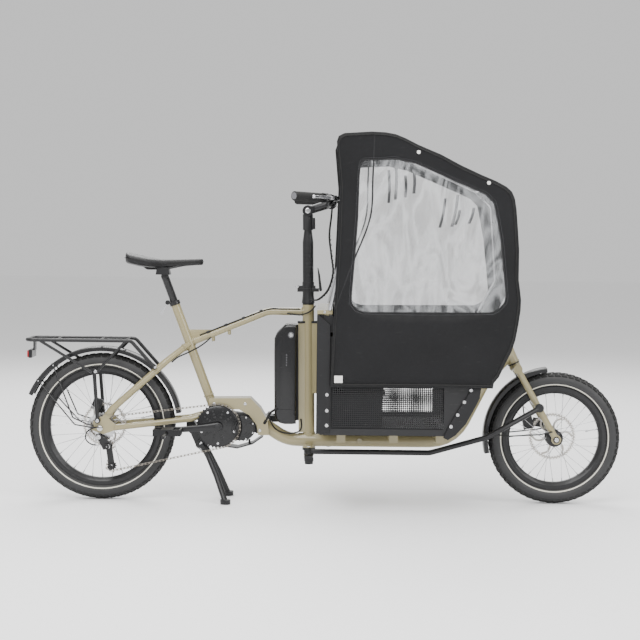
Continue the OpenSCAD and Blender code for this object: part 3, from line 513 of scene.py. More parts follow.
def smooth_path(points: Points, steps: int = 6) -> Points:
    """A smooth curve through points.

    Args:
        points: The points that it passes.
        steps: Points on each stretch.

    Returns:
        The points of the curve.
    """
    out: Points = []
    for i in range(len(points) - 1):
        a, b = points[max(i - 1, 0)], points[i]
        c, d = points[i + 1], points[min(i + 2, len(points) - 1)]
        for k in range(steps):
            t = k / steps
            out.append(0.5 * ((2 * b) + (c - a) * t + (2 * a - 5 * b + 4 * c - d) * t * t
                              + (3 * b - a - 3 * c + d) * t ** 3))
    return out + [points[-1]]


class Shape:
    """Closed solids gathered in millimetres and turned into one object."""

    def __init__(self) -> None:
        """Starts with nothing in it."""
        self.points: Points = []
        self.faces: list[list[int]] = []

    def add(self, points: Points, faces: list[list[int]]) -> "Shape":
        """Adds points and faces, numbered from the first of them."""
        start = len(self.points)
        self.points += [Vector(p) for p in points]
        self.faces += [[start + i for i in f] for f in faces]
        return self

    def loft(self, rings: list[Points], caps: bool = True, loop: bool = False,
             closed: bool = True) -> "Shape":
        """Skins rings of equal length.

        Args:
            rings: The rings, in order.
            caps: Whether both ends are closed.
            loop: Whether the last ring joins the first.
            closed: Whether each ring is closed on itself.

        Returns:
            The shape.
        """
        n, m = len(rings), len(rings[0])
        faces = []
        for i in range(n if loop else n - 1):
            for j in range(m if closed else m - 1):
                a, b = i * m + j, i * m + (j + 1) % m
                k = (i + 1) % n
                faces.append([a, k * m + j, k * m + (j + 1) % m, b])
        if caps and not loop:
            faces += [list(range(m)), [(n - 1) * m + j for j in range(m - 1, -1, -1)]]
        return self.add([p for ring in rings for p in ring], faces)

    def tube(self, path: Points, radius: float | list[float], sides: int = 12, loop: bool = False) -> "Shape":
        """A round tube along a path, of one radius or one for each point."""
        rings, n = [], len(path)
        normal = None
        for i, p in enumerate(path):
            ahead = path[(i + 1) % n] if loop else path[min(i + 1, n - 1)]
            behind = path[i - 1] if loop or i else path[0]
            along = (ahead - behind).normalized()
            if normal is None:
                normal = along.orthogonal().normalized()
            normal = (normal - along * normal.dot(along)).normalized()
            side = along.cross(normal)
            r = radius[i] if isinstance(radius, list) else radius
            rings.append([p + (normal * math.cos(t) + side * math.sin(t)) * r
                          for t in (2 * math.pi * k / sides for k in range(sides))])
        return self.loft(rings, loop=loop)

    def lathe(self, profile: list[tuple[float, float]], centre: Vector, axis: Vector, segments: int = 48,
              loop: bool = False) -> "Shape":
        """Turns a profile about an axis.

        Args:
            profile: Distance from the axis and height along it, point by point.
            centre: A point on the axis, at height zero.
            axis: Direction of the axis.
            segments: Faces round the axis.
            loop: Whether the profile closes on itself, as on a ring.

        Returns:
            The shape.
        """
        axis = axis.normalized()
        u = axis.orthogonal().normalized()
        v = axis.cross(u)
        rings = [[centre + axis * h + (u * math.cos(t) + v * math.sin(t)) * max(r, 0.01)
                  for t in (2 * math.pi * k / segments for k in range(segments))] for r, h in profile]
        return self.loft(rings, caps=not loop, loop=loop)

    def disc(self, centre: Vector, axis: Vector, radius: float, height: float, segments: int = 32,
             chamfer: float = 0.6) -> "Shape":
        """A short round pin or cover with broken edges."""
        c = min(chamfer, radius / 3, height / 3)
        return self.lathe([(0, 0), (radius - c, 0), (radius, c), (radius, height - c), (radius - c, height),
                           (0, height)], centre, axis, segments)

    def bolt(self, centre: Vector, axis: Vector, radius: float = 3.0, height: float = 2.5) -> "Shape":
        """A round bolt head with a hexagon socket."""
        rings = [(0.01, height * 0.35, 6), (radius * 0.5, height * 0.35, 6), (radius * 0.5, height, 6),
                 (radius * 0.85, height, 12), (radius, height * 0.8, 12), (radius, 0, 12)]
        axis = axis.normalized()
        u = axis.orthogonal().normalized()
        v = axis.cross(u)
        loops = [[centre + axis * h + (u * math.cos(2 * math.pi * (k // (12 // s) * (12 // s)) / 12)
                                       + v * math.sin(2 * math.pi * (k // (12 // s) * (12 // s)) / 12)) * r
                  for k in range(12)] for r, h, s in rings]
        return self.loft(loops)

    def prism(self, outline: list[tuple[float, float]], y_low: float, y_high: float) -> "Shape":
        """A plate with its outline in the X-Z plane, from y_low to y_high."""
        return self.loft([[at(x, y_low, z) for x, z in outline], [at(x, y_high, z) for x, z in outline]])

    def box(self, low: Vector, high: Vector) -> "Shape":
        """A block between two corners."""
        outline = [(low.x, low.z), (high.x, low.z), (high.x, high.z), (low.x, high.z)]
        return self.prism(outline, low.y, high.y)

    def copy(self, change: Matrix | None = None) -> "Shape":
        """A copy of the shape, moved by a matrix if one is given."""
        twin = Shape()
        twin.points = [(change @ p) if change else p.copy() for p in self.points]
        twin.faces = [list(f) for f in self.faces]
        return twin

    def join(self, other: "Shape") -> "Shape":
        """Adds another shape."""
        return self.add(other.points, other.faces)

    def object(self, name: str, angle: float = 38.0, bevel: float = 0.0, merge: float = 0.01,
               outward: bool = True) -> Item:
        """The shape as one object, in metres.

        Args:
            name: Name of the object.
            angle: Edges sharper than this, in degrees, stay sharp.
            bevel: Width of a bevel on sharp edges.
            merge: Distance under which points are joined.
            outward: Whether faces are turned outwards.

        Returns:
            The object.
        """
        mesh = bpy.data.meshes.new(name)
        mesh.from_pydata([p * MM for p in self.points], [], self.faces)
        obj = bpy.data.objects.new(name, mesh)
        bpy.context.scene.collection.objects.link(obj)
        tidy(obj, merge * MM, outward)
        if bevel:
            add_bevel(obj, bevel, angle)
        shade_by_angle(obj, angle)
        return obj


def tidy(obj: Item, distance: float = 1e-5, outward: bool = True) -> None:
    """Joins doubled points and turns faces outwards."""
    work = bmesh.new()
    work.from_mesh(obj.data)
    bmesh.ops.remove_doubles(work, verts=work.verts, dist=distance)
    if outward:
        bmesh.ops.recalc_face_normals(work, faces=work.faces)
    work.to_mesh(obj.data)
    work.free()


def shade_by_angle(obj: Item, angle: float) -> None:
    """Smooth faces, with edges sharper than an angle in degrees kept sharp."""
    obj.data.shade_smooth()
    obj.data.set_sharp_from_angle(angle=math.radians(angle))


def add_bevel(obj: Item, width: float, angle: float = 38.0, segments: int = 2) -> None:
    """A small bevel on the sharp edges, left as a modifier."""
    modifier = obj.modifiers.new("edges", "BEVEL")
    modifier.width = width * MM
    modifier.segments = segments
    modifier.limit_method = "ANGLE"
    modifier.angle_limit = math.radians(angle)
    modifier.harden_normals = True


def piece(obj: Item, body: str, finish: AnyFinish, replaces: tuple[str, ...] = ()) -> Item:
    """Gives a finished object its finish and body, and hides the CAD nodes that it stands for.

    Args:
        obj: The object, in place.
        body: The body that it moves with.
        finish: What it is made of.
        replaces: CAD nodes that it stands for.

    Returns:
        The object.
    """
    obj.data.materials.clear()
    obj.data.materials.append(finish.material())
    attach(obj, body)
    if replaces:
        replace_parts(obj, *replaces)
    LOG.info("%s on %s, %d faces", obj.name, body, len(obj.data.polygons))
    return obj


def refined(node: str, finish: AnyFinish, bevel: float = 0.0, angle: float = 42.0) -> Item:
    """A CAD node again with joined points, smooth tubes and broken edges, in its finish.

    Args:
        node: The CAD node, which the new piece stands for.
        finish: What it is made of.
        bevel: Width of the bevel on sharp edges, or 0.
        angle: Edges sharper than this, in degrees, stay sharp.

    Returns:
        The new piece.
    """
    source = frame["nodes"][node]
    obj = bpy.data.objects.new(node + "_skin", source.data.copy())
    bpy.context.scene.collection.objects.link(obj)
    work = bmesh.new()
    work.from_mesh(obj.data)
    bmesh.ops.remove_doubles(work, verts=work.verts, dist=2e-6)
    bmesh.ops.dissolve_degenerate(work, edges=work.edges, dist=2e-6)
    bmesh.ops.dissolve_limit(work, angle_limit=math.radians(0.6), verts=work.verts, edges=work.edges)
    work.to_mesh(obj.data)
    work.free()
    if bevel:
        add_bevel(obj, bevel, angle)
    shade_by_angle(obj, angle)
    return piece(obj, source["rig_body"], finish, (node,))


# ---- repeats -------------------------------------------------------------------------------


def geometry_tree(name: str, inputs: dict[str, tuple[str, object]]) -> Tree:
    """An empty Geometry Nodes tree with a geometry output and named inputs."""
    tree = bpy.data.node_groups.new(name, "GeometryNodeTree")
    tree.interface.new_socket("Geometry", in_out="INPUT", socket_type="NodeSocketGeometry")
    for label, (kind, value) in inputs.items():
        socket = tree.interface.new_socket(label, in_out="INPUT", socket_type=kind)
        if value is not None:
            socket.default_value = value
    tree.interface.new_socket("Geometry", in_out="OUTPUT", socket_type="NodeSocketGeometry")
    tree.nodes.new("NodeGroupInput").name = "in"
    tree.nodes.new("NodeGroupOutput").name = "out"
    return tree


class Repeat(Enum):
    """How a tile is repeated."""

    RING = "ring"
    PATH = "path"
    LATTICE = "lattice"

    def tree(self) -> Tree:
        """The node tree of this way to repeat, built once."""
        name = "repeat by " + self.value
        if name in bpy.data.node_groups:
            return bpy.data.node_groups[name]
        sizes = {
            Repeat.RING: {"Tile": ("NodeSocketObject", None), "Finish": ("NodeSocketMaterial", None),
                          "Count": ("NodeSocketInt", 8), "Centre": ("NodeSocketVector", (0, 0, 0)),
                          "Tilt": ("NodeSocketFloat", 0.0)},
            Repeat.PATH: {"Tile": ("NodeSocketObject", None), "Finish": ("NodeSocketMaterial", None),
                          "Count": ("NodeSocketInt", 8), "Path": ("NodeSocketObject", None)},
            Repeat.LATTICE: {"Tile": ("NodeSocketObject", None), "Finish": ("NodeSocketMaterial", None),
                             "Columns": ("NodeSocketInt", 8), "Rows": ("NodeSocketInt", 8),
                             "Pitch": ("NodeSocketFloat", 0.007), "Corner": ("NodeSocketVector", (0, 0, 0)),
                             "Edge": ("NodeSocketFloat", 0.4), "Slope": ("NodeSocketFloat", 0.5)}}[self]
        tree = geometry_tree(name, sizes)
        start, end = tree.nodes["in"], tree.nodes["out"]
        tile = add_node(tree, "GeometryNodeObjectInfo", {"Object": start.outputs["Tile"],
                                                         "As Instance": True})
        copies = {Repeat.RING: self._ring, Repeat.PATH: self._path, Repeat.LATTICE: self._lattice}[self](
            tree, start, tile.outputs["Geometry"])
        real = add_node(tree, "GeometryNodeRealizeInstances", {"Geometry": copies})
        dressed = add_node(tree, "GeometryNodeSetMaterial", {"Geometry": real.outputs[0],
                                                             "Material": start.outputs["Finish"]})
        tree.links.new(dressed.outputs[0], end.inputs[0])
        return tree

    def _ring(self, tree: Tree, start: Node,
              tile: Socket) -> Socket:
        """Copies turned about the Y axis through a centre."""
        points = add_node(tree, "GeometryNodePoints", {"Count": start.outputs["Count"],
                                                       "Position": start.outputs["Centre"]})
        index = add_node(tree, "GeometryNodeInputIndex").outputs[0]
        step = maths(tree, "DIVIDE", 2 * math.pi, start.outputs["Count"])
        angle = maths(tree, "ADD", maths(tree, "MULTIPLY", index, step), start.outputs["Tilt"])
        turn = add_node(tree, "ShaderNodeCombineXYZ", {1: angle})
        node = add_node(tree, "GeometryNodeInstanceOnPoints", {"Points": points.outputs[0], "Instance": tile,
                                                               "Rotation": turn.outputs[0]})
        return node.outputs[0]

    def _path(self, tree: Tree, start: Node,
              tile: Socket) -> Socket:
        """Copies spread along a curve object, their Z axis along it."""
        path = add_node(tree, "GeometryNodeObjectInfo", {"Object": start.outputs["Path"]})
        points = add_node(tree, "GeometryNodeCurveToPoints", {"Curve": path.outputs["Geometry"],
                                                              "Count": start.outputs["Count"]})
        node = add_node(tree, "GeometryNodeInstanceOnPoints", {"Points": points.outputs["Points"],
                                                               "Instance": tile,
                                                               "Rotation": points.outputs["Rotation"]})
        return node.outputs[0]

    def _lattice(self, tree: Tree, start: Node,
                 tile: Socket) -> Socket:
        """Copies on a grid in the X-Z plane, as far as a sloping edge."""
        count = maths(tree, "MULTIPLY", start.outputs["Columns"], start.outputs["Rows"])
        index = add_node(tree, "GeometryNodeInputIndex").outputs[0]
        row = maths(tree, "FLOOR", maths(tree, "DIVIDE", maths(tree, "ADD", index, 0.5),
                                         start.outputs["Columns"]))
        column = maths(tree, "SUBTRACT", index, maths(tree, "MULTIPLY", row, start.outputs["Columns"]))
        x = maths(tree, "MULTIPLY", column, start.outputs["Pitch"])
        z = maths(tree, "MULTIPLY", row, start.outputs["Pitch"])
        spot = add_node(tree, "ShaderNodeCombineXYZ", {0: x, 2: z})
        place = add_node(tree, "ShaderNodeVectorMath", {0: spot.outputs[0], 1: start.outputs["Corner"]},
                         operation="ADD")
        limit = maths(tree, "ADD", start.outputs["Edge"], maths(tree, "MULTIPLY", z, start.outputs["Slope"]))
        kept = maths(tree, "LESS_THAN", x, limit)
        points = add_node(tree, "GeometryNodePoints", {"Count": count, "Position": place.outputs[0]})
        node = add_node(tree, "GeometryNodeInstanceOnPoints", {"Points": points.outputs[0], "Instance": tile,
                                                               "Selection": kept})
        return node.outputs[0]

    def make(self, name: str, tile: Shape, finish: AnyFinish, **sizes: object) -> Item:
        """Repeats a tile and gives the result as one plain mesh.

        Args:
            name: Name of the new object.
            tile: What is repeated, about its own origin.
            finish: Its finish.
            sizes: The tree's other inputs by name, with points in metres.

        Returns:
            The object, with no modifier left.
        """
        pattern = tile.object(name + "_tile", angle=30.0)
        carrier = bpy.data.objects.new(name + "_carrier", bpy.data.meshes.new(name + "_carrier"))
        bpy.context.scene.collection.objects.link(carrier)
        modifier = carrier.modifiers.new("repeat", "NODES")
        modifier.node_group = self.tree()
        values = {"Tile": pattern, "Finish": finish.material(), **sizes}
        for item in modifier.node_group.interface.items_tree:
            if item.item_type == "SOCKET" and item.in_out == "INPUT" and item.name in values:
                modifier[item.identifier] = values[item.name]
        bpy.context.view_layer.update()
        graph = bpy.context.evaluated_depsgraph_get()
        mesh = bpy.data.meshes.new_from_object(carrier.evaluated_get(graph))
        obj = bpy.data.objects.new(name, mesh)
        bpy.context.scene.collection.objects.link(obj)
        for spent in (carrier, pattern, sizes.get("Path")):
            if spent:
                bpy.data.objects.remove(spent)
        return obj


def path_object(points: Points, loop: bool = False) -> Item:
    """A curve object along points in millimetres, for a repeat to follow."""
    curve = bpy.data.curves.new("path", "CURVE")
    curve.dimensions = "3D"
    spline = curve.splines.new("POLY")
    spline.points.add(len(points) - 1)
    for target, p in zip(spline.points, points):
        target.co = (*(p * MM), 1.0)
    spline.use_cyclic_u = loop
    obj = bpy.data.objects.new("path", curve)
    bpy.context.scene.collection.objects.link(obj)
    return obj


def holed_tile(width: float, height: float, hole: float, thick: float, sides: int = 6) -> Shape:
    """A square cell of a perforated sheet, with a round or hexagonal hole through it.

    Args:
        width: Size along X.
        height: Size along Z.
        hole: Radius of the hole.
        thick: Thickness, from y = 0 backwards.
        sides: Corners of the hole, a multiple of two.

    Returns:
        The cell, centred on its own middle.
    """
    shape = Shape()
    outer, inner = [], []
    for k in range(sides * 2):
        t = 2 * math.pi * k / (sides * 2)
        c, s = math.cos(t), math.sin(t)
        reach = min(width / 2 / max(abs(c), 1e-6), height / 2 / max(abs(s), 1e-6))
        outer.append((c * reach, s * reach))
        inner.append((c * hole, s * hole))
    rings = [[at(x, 0, z) for x, z in outer], [at(x, 0, z) for x, z in inner],
             [at(x, thick, z) for x, z in inner], [at(x, thick, z) for x, z in outer]]
    return shape.loft(rings, caps=False)


# ---- wheels and drive ----------------------------------------------------------------------


ACROSS = Vector((0, 1, 0))
LEFT = ACROSS
RIGHT = -ACROSS
HEAD_ANGLE = math.radians(65.6)
HEAD_LINE = at(-math.cos(HEAD_ANGLE), 0, math.sin(HEAD_ANGLE))
SEAT_LINE = at(-127, 0, 336).normalized()
COLUMN_LEAN = math.radians(0.8)
POST_FOOT = 564


def centre_of(node: str) -> Vector:
    """The middle of a CAD node's box, in millimetres."""
    low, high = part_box(node)
    return (low + high) / 2 / MM


def joint_place(name: str) -> Vector:
    """Where the record puts a joint, in millimetres."""
    return next(Vector(j["pos_m"]) / MM for j in frame["joints"] if j["name"] == name)


@dataclass
class Wheel:
    """A spoked wheel with its tyre, rim, hub and brake rotor.

    Attributes:
        name: Name that its pieces start with.
        body: The body that it turns with.
        spin: The joint at its axle.
        radius: Outer radius of the tyre.
        tyre_width: Width of the tyre.
        flange_y: Distance of the hub flanges from the middle.
        hub_ends: Right and left end of the hub shell.
        rotor_radius: Radius of the rotor.
        rotor_y: Distance of the rotor's inner face from the middle.
        stripe: Radius of the reflecting stripe.
        blocks: Rows of tread blocks round the tyre.
        spoke_count: Spokes of the wheel.
    """

    name: str
    body: str
    spin: str
    radius: float
    tyre_width: float
    flange_y: float
    hub_ends: tuple[float, float]
    rotor_radius: float
    rotor_y: float
    stripe: float
    blocks: int
    spoke_count: int = 32
    centre: Vector = field(default_factory=Vector)

    def build(self) -> None:
        """Builds every piece of the wheel."""
        self.centre = joint_place(self.spin)
        self.tyre()
        self.tread()
        self.rim()
        self.spokes()
        self.hub()
        self.rotor()

    def tyre(self) -> None:
        """The carcass, with its beads in the rim."""
        half, tall = self.tyre_width / 2, 26.2
        profile = []
        for k in range(25):
            t = math.radians(-152 + 304 * k / 24)
            profile.append((self.radius - 27.8 + tall * math.cos(t), half * 0.985 * math.sin(t)))
        profile += [(self.radius - 46, 12.5), (self.radius - 34, 20), (self.radius - 5, 0),
                    (self.radius - 34, -20), (self.radius - 46, -12.5)]
        finish = TyreFinish(self.name + " tyre rubber", (self.centre.x * MM, self.centre.z * MM),
                            self.stripe * MM)
        carcass = Shape().lathe(profile, self.centre, ACROSS, 128, loop=True)
        obj = carcass.object(self.name + "_tyre_carcass", 60)
        piece(obj, self.body, finish, (self.name + "_tyre",))

    def tread(self) -> None:
        """Low blocks in slanting rows over the crown."""
        step = 2 * math.pi * self.radius / self.blocks
        tile = Shape()
        for row, (y, width, shift) in enumerate(((-21, 7, 0.3), (-11.5, 8, 0.0), (0, 9, 0.5), (11.5, 8, 0.0),
                                                 (21, 7, 0.3))):
            lift = self.radius - 27.8 + 27.2 * math.sqrt(max(0.0, 1 - (y / 29.5) ** 2))
            base = lift - 3.2
            angle = math.asin(y / 29.5) * 0.8
            skew = 1.5 if row % 2 else -1.5
            ring = [(-step * 0.36 - skew, -width / 2), (step * 0.36 - skew, -width / 2),
                    (step * 0.36 + skew, width / 2), (-step * 0.36 + skew, width / 2)]
            move = Matrix.Translation(at(shift * step, y, 0))
            tilt = Matrix.Rotation(-angle, 4, "X")
            low = [move @ (tilt @ at(x, w, 0)) + at(0, 0, base) for x, w in ring]
            high = [move @ (tilt @ at(x * 0.9, w * 0.9, 3.2)) + at(0, 0, base) for x, w in ring]
            tile.loft([low, high])
        obj = Repeat.RING.make(self.name + "_tread", tile, RUBBER, Count=self.blocks, Centre=self.centre * MM)
        piece(obj, self.body, RUBBER)

    def rim(self) -> None:
        """The rim, with its hollow section, and the valve."""
        refined(self.name + "_rim", POWDER, 0.5, 30)
        lip = self.radius - 50
        turn = Matrix.Translation(self.centre) @ Matrix.Rotation(math.radians(78), 4, "Y")
        valve = Shape().lathe([(0, 0), (3.4, 0), (3.4, 12), (2.3, 14), (2.3, 34), (3.6, 35),
                               (3.6, 43), (2.6, 44), (0, 44)], at(0, 0, lip - 25), at(0, 0, -1), 12)
        piece(valve.copy(turn).object(self.name + "_valve", bevel=0.2), self.body, STEEL)

    def spokes(self) -> None:
        """Crossed spokes with their nipples, four to a repeat."""
        tile, reach = Shape(), self.radius - 50 - 25
        for k in range(4):
            side = 1 if k % 2 == 0 else -1
            lean = math.radians(38 if k // 2 % 2 == 0 else -38)
            a = 2 * math.pi * k / self.spoke_count
            foot = at(29 * math.cos(a + lean), side * self.flange_y, -29 * math.sin(a + lean))
            head = at((reach - 0.5) * math.cos(a), side * 2.5, -(reach - 0.5) * math.sin(a))
            along = (head - foot).normalized()
            tile.tube([foot + ACROSS * side * -1.6, foot + along * 0.5, foot + along * 14,
                       head - along * 9], 0.95, 6)
            tile.tube([head - along * 12, head - along * 11.4, head - along * 0.2], [1.0, 1.8, 1.8], 6)
        obj = Repeat.RING.make(self.name + "_spoke_set", tile, STEEL, Count=self.spoke_count // 4,
                               Centre=self.centre * MM)
        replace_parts(piece(obj, self.body, STEEL), self.name + "_spokes")

    def hub(self) -> None:
        """The hub shell with its flanges and end caps."""
        right, left = self.hub_ends
        f = self.flange_y
        profile = [(7, right), (15, right), (16, right + 1), (16, -f - 6), (27, -f - 2), (30, -f - 1.6),
                   (30, -f + 1.6), (20, -f + 4), (16.5, -f + 9), (16.5, f - 9), (20, f - 4), (30, f - 1.6),
                   (30, f + 1.6), (27, f + 2), (19, f + 6), (19, left - 10), (16, left - 9),
                   (16, left - 1), (15, left), (7, left)]
        shape = Shape().lathe(profile, self.centre, ACROSS, 48, loop=True)
        piece(shape.object(self.name + "_hub_shell", 30, bevel=0.3), self.body, SMOOTH,
              (self.name + "_hub",))

    def rotor(self) -> None:
        """The brake rotor: a drilled track on six curved arms, held by six bolts."""
        r, y = self.rotor_radius, self.rotor_y
        middle, cells = r - 7.5, 48
        pitch = 2 * math.pi * middle / cells
        tile = Shape()
        for k, rise in enumerate((3.2, -3.2)):
            part = holed_tile(pitch / 2, 15, 1.9, 1.8, 4)
            for p in part.points:
                ring = middle + p.z
                angle = (p.x + (k - 0.5) * pitch / 2) / middle
                hole = abs(p.x) < pitch / 4 - 0.05 and abs(p.z) < 7.4
                ring += rise if hole else 0
                tile.points.append(at(ring * math.sin(angle), y + 0.1 + p.y, ring * math.cos(angle)))
            start = len(tile.points) - len(part.points)
            tile.faces += [[start + i for i in f] for f in part.faces]
        track = Repeat.RING.make(self.name + "_rotor_track", tile, ROTOR, Count=cells,
                                 Centre=self.centre * MM)
        node = self.name + "_rotor"
        piece(track, self.body, ROTOR, (node,) if node in frame["nodes"] else ())
        arm = Shape()
        spine = smooth_path([at(20, 0, 0), at(r * 0.42, 0, r * 0.16), at(r * 0.66, 0, r * 0.17),
                             at(r - 13, 0, 0)], 4)
        for i in range(len(spine) - 1):
            a, b = spine[i], spine[i + 1]
            n = (b - a).cross(ACROSS).normalized() * 3.4
            quad = [a + n, b + n, b - n, a - n]
            arm.loft([[q + ACROSS * (y + 0.1) for q in quad], [q + ACROSS * (y + 1.9) for q in quad]])
        arms = Repeat.RING.make(self.name + "_rotor_arms", arm, ROTOR, Count=6, Centre=self.centre * MM)
        piece(arms, self.body, ROTOR)
        collar = Shape().lathe([(20.4, y - 1), (27, y - 1), (27, y + 2.6), (20.4, y + 2.6)],
                               self.centre, ACROSS, 48, loop=True)
        screw = Shape().bolt(at(23.6, y + 2.4, 0), LEFT, 2.6, 2.0)
        piece(collar.object(self.name + "_rotor_collar", bevel=0.3), self.body, POWDER)
        piece(Repeat.RING.make(self.name + "_rotor_bolts", screw, STEEL, Count=6, Centre=self.centre * MM),
              self.body, STEEL)


def toothed(teeth: int, pitch_radius: float, tall: float = 4.0) -> list[tuple[float, float]]:
    """The outline of a sprocket about the origin, four points to a tooth."""
    out = []
    for k in range(teeth):
        for share, r in ((-0.34, -tall * 0.45), (-0.10, tall * 0.55), (0.10, tall * 0.55),
                         (0.34, -tall * 0.45)):
            t = 2 * math.pi * (k + share) / teeth
            out.append(((pitch_radius + r) * math.cos(t), (pitch_radius + r) * math.sin(t)))
    return out


def moved(outline: list[tuple[float, float]], centre: Vector) -> list[tuple[float, float]]:
    """An outline shifted to a centre in the X-Z plane."""
    return [(x + centre.x, z + centre.z) for x, z in outline]


@dataclass
class Drive:
    """Chain, rings, cranks, pedals, cassette and derailleur.

    Attributes:
        ring_radius: Pitch radius of the chain ring.
        ring_teeth: Teeth of the chain ring.
        cog_radius: Pitch radius of the sprocket in use.
        pulley_radius: Pitch radius of both pulleys.
        chain_y: Chain line, on the right side.
        crank_length: From crank axle to pedal axle.
    """

    ring_radius: float = 77.0
    ring_teeth: int = 38
    cog_radius: float = 34.6
    pulley_radius: float = 18.0
    chain_y: float = -50.0
    crank_length: float = 170.0

    def build(self) -> None:
        """Builds every piece of the drive."""
        self.crank = joint_place("crank_spin")
        self.rear = joint_place("rear_wheel_spin")
        self.upper = joint_place("upper_jockey_spin")
        self.lower = joint_place("lower_jockey_spin")
        self.chain()
        self.ring()
        self.cassette()
        self.pulleys()
        self.cranks()
        self.pedals()
        self.derailleur()

    def chain_path(self) -> Points:
        """The loop of the chain round its four wheels."""
        wheels = [(self.crank, self.ring_radius, 1), (self.lower, self.pulley_radius, 1),
                  (self.upper, self.pulley_radius, -1), (self.rear, self.cog_radius, 1)]
        lines = []
        for i, (a, ra, ta) in enumerate(wheels):
            b, rb, tb = wheels[(i + 1) % 4]
            gap = Vector((b.x - a.x, b.z - a.z))
            lines.append(math.atan2(gap.y, gap.x) - math.asin((ta * ra - tb * rb) / gap.length))
        path: Points = []
        for i, (c, r, t) in enumerate(wheels):
            before, after = lines[i - 1], lines[i]
            sweep = (before - after) % (2 * math.pi) if t > 0 else (after - before) % (2 * math.pi)
            steps = max(6, int(sweep * r / 9))
            for k in range(steps + 1):
                d = before - t * sweep * k / steps
                path.append(at(c.x - t * r * math.sin(d), self.chain_y, c.z + t * r * math.cos(d)))
        return path

    def chain(self) -> None:
        """Links along the loop, an inner and an outer pair to a repeat."""
        path = self.chain_path()
        length = sum((path[i] - path[i - 1]).length for i in range(len(path)))
        count = round(length / 25.4)
        pitch = length / count / 2
        eight = [(-pitch / 2 - 3.4, 0), (-pitch / 2 - 2.2, 3.4), (-pitch / 2 + 2.0, 3.6), (0, 2.5),
                 (pitch / 2 - 2.0, 3.6), (pitch / 2 + 2.2, 3.4), (pitch / 2 + 3.4, 0),
                 (pitch / 2 + 2.2, -3.4), (pitch / 2 - 2.0, -3.6), (0, -2.5), (-pitch / 2 + 2.0, -3.6),
                 (-pitch / 2 - 2.2, -3.4)]
        tile = Shape()
        for shift, y in ((-pitch / 2, 2.1), (pitch / 2, 1.1)):
            for side in (1, -1):
                ring = [at(x + shift, 0, z) for x, z in eight]
                low = [Vector((p.z, side * y, p.x)) for p in ring]
                high = [Vector((p.z, side * (y + 0.9), p.x)) for p in ring]
                tile.loft([low, high])
        for shift in (-pitch, 0):
            tile.tube([at(0, -3.1, shift), at(0, 3.1, shift)], 2.2, 6)
        obj = Repeat.PATH.make("chain_links", tile, CHAIN, Count=count, Path=path_object(path, True))
        piece(obj, "frame", CHAIN, ("chain",))

    def ring(self) -> None:
        """The chain ring with its guard and bolts."""
        outline = moved(toothed(self.ring_teeth, self.ring_radius - 1.2, 5.0), self.crank)
        ring = Shape().prism(outline, -51.4, -48.8)
        guard = Shape().lathe([(11, -63), (22, -63.4), (41, -61.5), (52, -60), (68, -57.6),
                               (71.5, -56), (71.5, -54), (60, -53), (11, -53)], self.crank, ACROSS,
                               72, loop=True)
        piece(ring.object("ring_teeth", bevel=0.3), "cranks", POWDER, ("chain_ring",))
        piece(guard.object("ring_guard", 30), "cranks", SMOOTH)
        arm = Shape()
        for k in range(3):
            arm.prism([(30 + 11 * k, -5 + k), (38 + 11 * k, -5 + k), (37 + 11 * k, 5 - k),
                       (31 + 11 * k, 5 - k)],
                      -64.2 + 1.6 * k, -58 + k)
        ribs = Repeat.RING.make("ring_ribs", arm, SMOOTH, Count=10, Centre=self.crank * MM)
        piece(ribs, "cranks", SMOOTH)
        screw = Shape().bolt(at(60, -58.6, 0), RIGHT, 4.2, 2.2)
        bolts = Repeat.RING.make("ring_bolts", screw, STEEL, Count=5, Centre=self.crank * MM, Tilt=0.3)
        piece(bolts, "cranks", STEEL)

    def cassette(self) -> None:
        """Eight sprockets, with the drive hub and the lock ring."""
        shape = Shape()
        teeth = (26, 24, 22, 19, 17, 15, 13, 12)
        for k, count in enumerate(teeth):
            y = -36.2 - 3.05 * k
            size = min(count * 2.02, 52.0)
            if k == 4:
                y, size = self.chain_y + 0.6, self.cog_radius - 1.5
            outline = toothed(count, size - 2.0, 3.6)
            shape.prism(moved(outline, self.rear), y - 1.6, y)
        shape.lathe([(7, -61.6), (14, -61.6), (17, -60), (19, -58), (19, -36), (7, -36)],
                    self.rear, ACROSS, 36, loop=True)
        piece(shape.object("sprockets", 25), "cassette_body", STEEL, ("cassette",))

    def pulleys(self) -> None:
        """The two toothed pulleys of the derailleur."""
        for name, spot in (("upper", self.upper), ("lower", self.lower)):
            wheel = Shape().prism(moved(toothed(11, self.pulley_radius - 2.2, 4.0), spot), -52, -48)
            wheel.lathe([(3.2, -53), (8, -53), (9, -52), (9, -48), (8, -47), (3.2, -47)], spot, ACROSS,
                        24, loop=True)
            piece(wheel.object(name + "_pulley_wheel", bevel=0.3), name + "_jockey", MOULDED,
                  (name + "_pulley",))

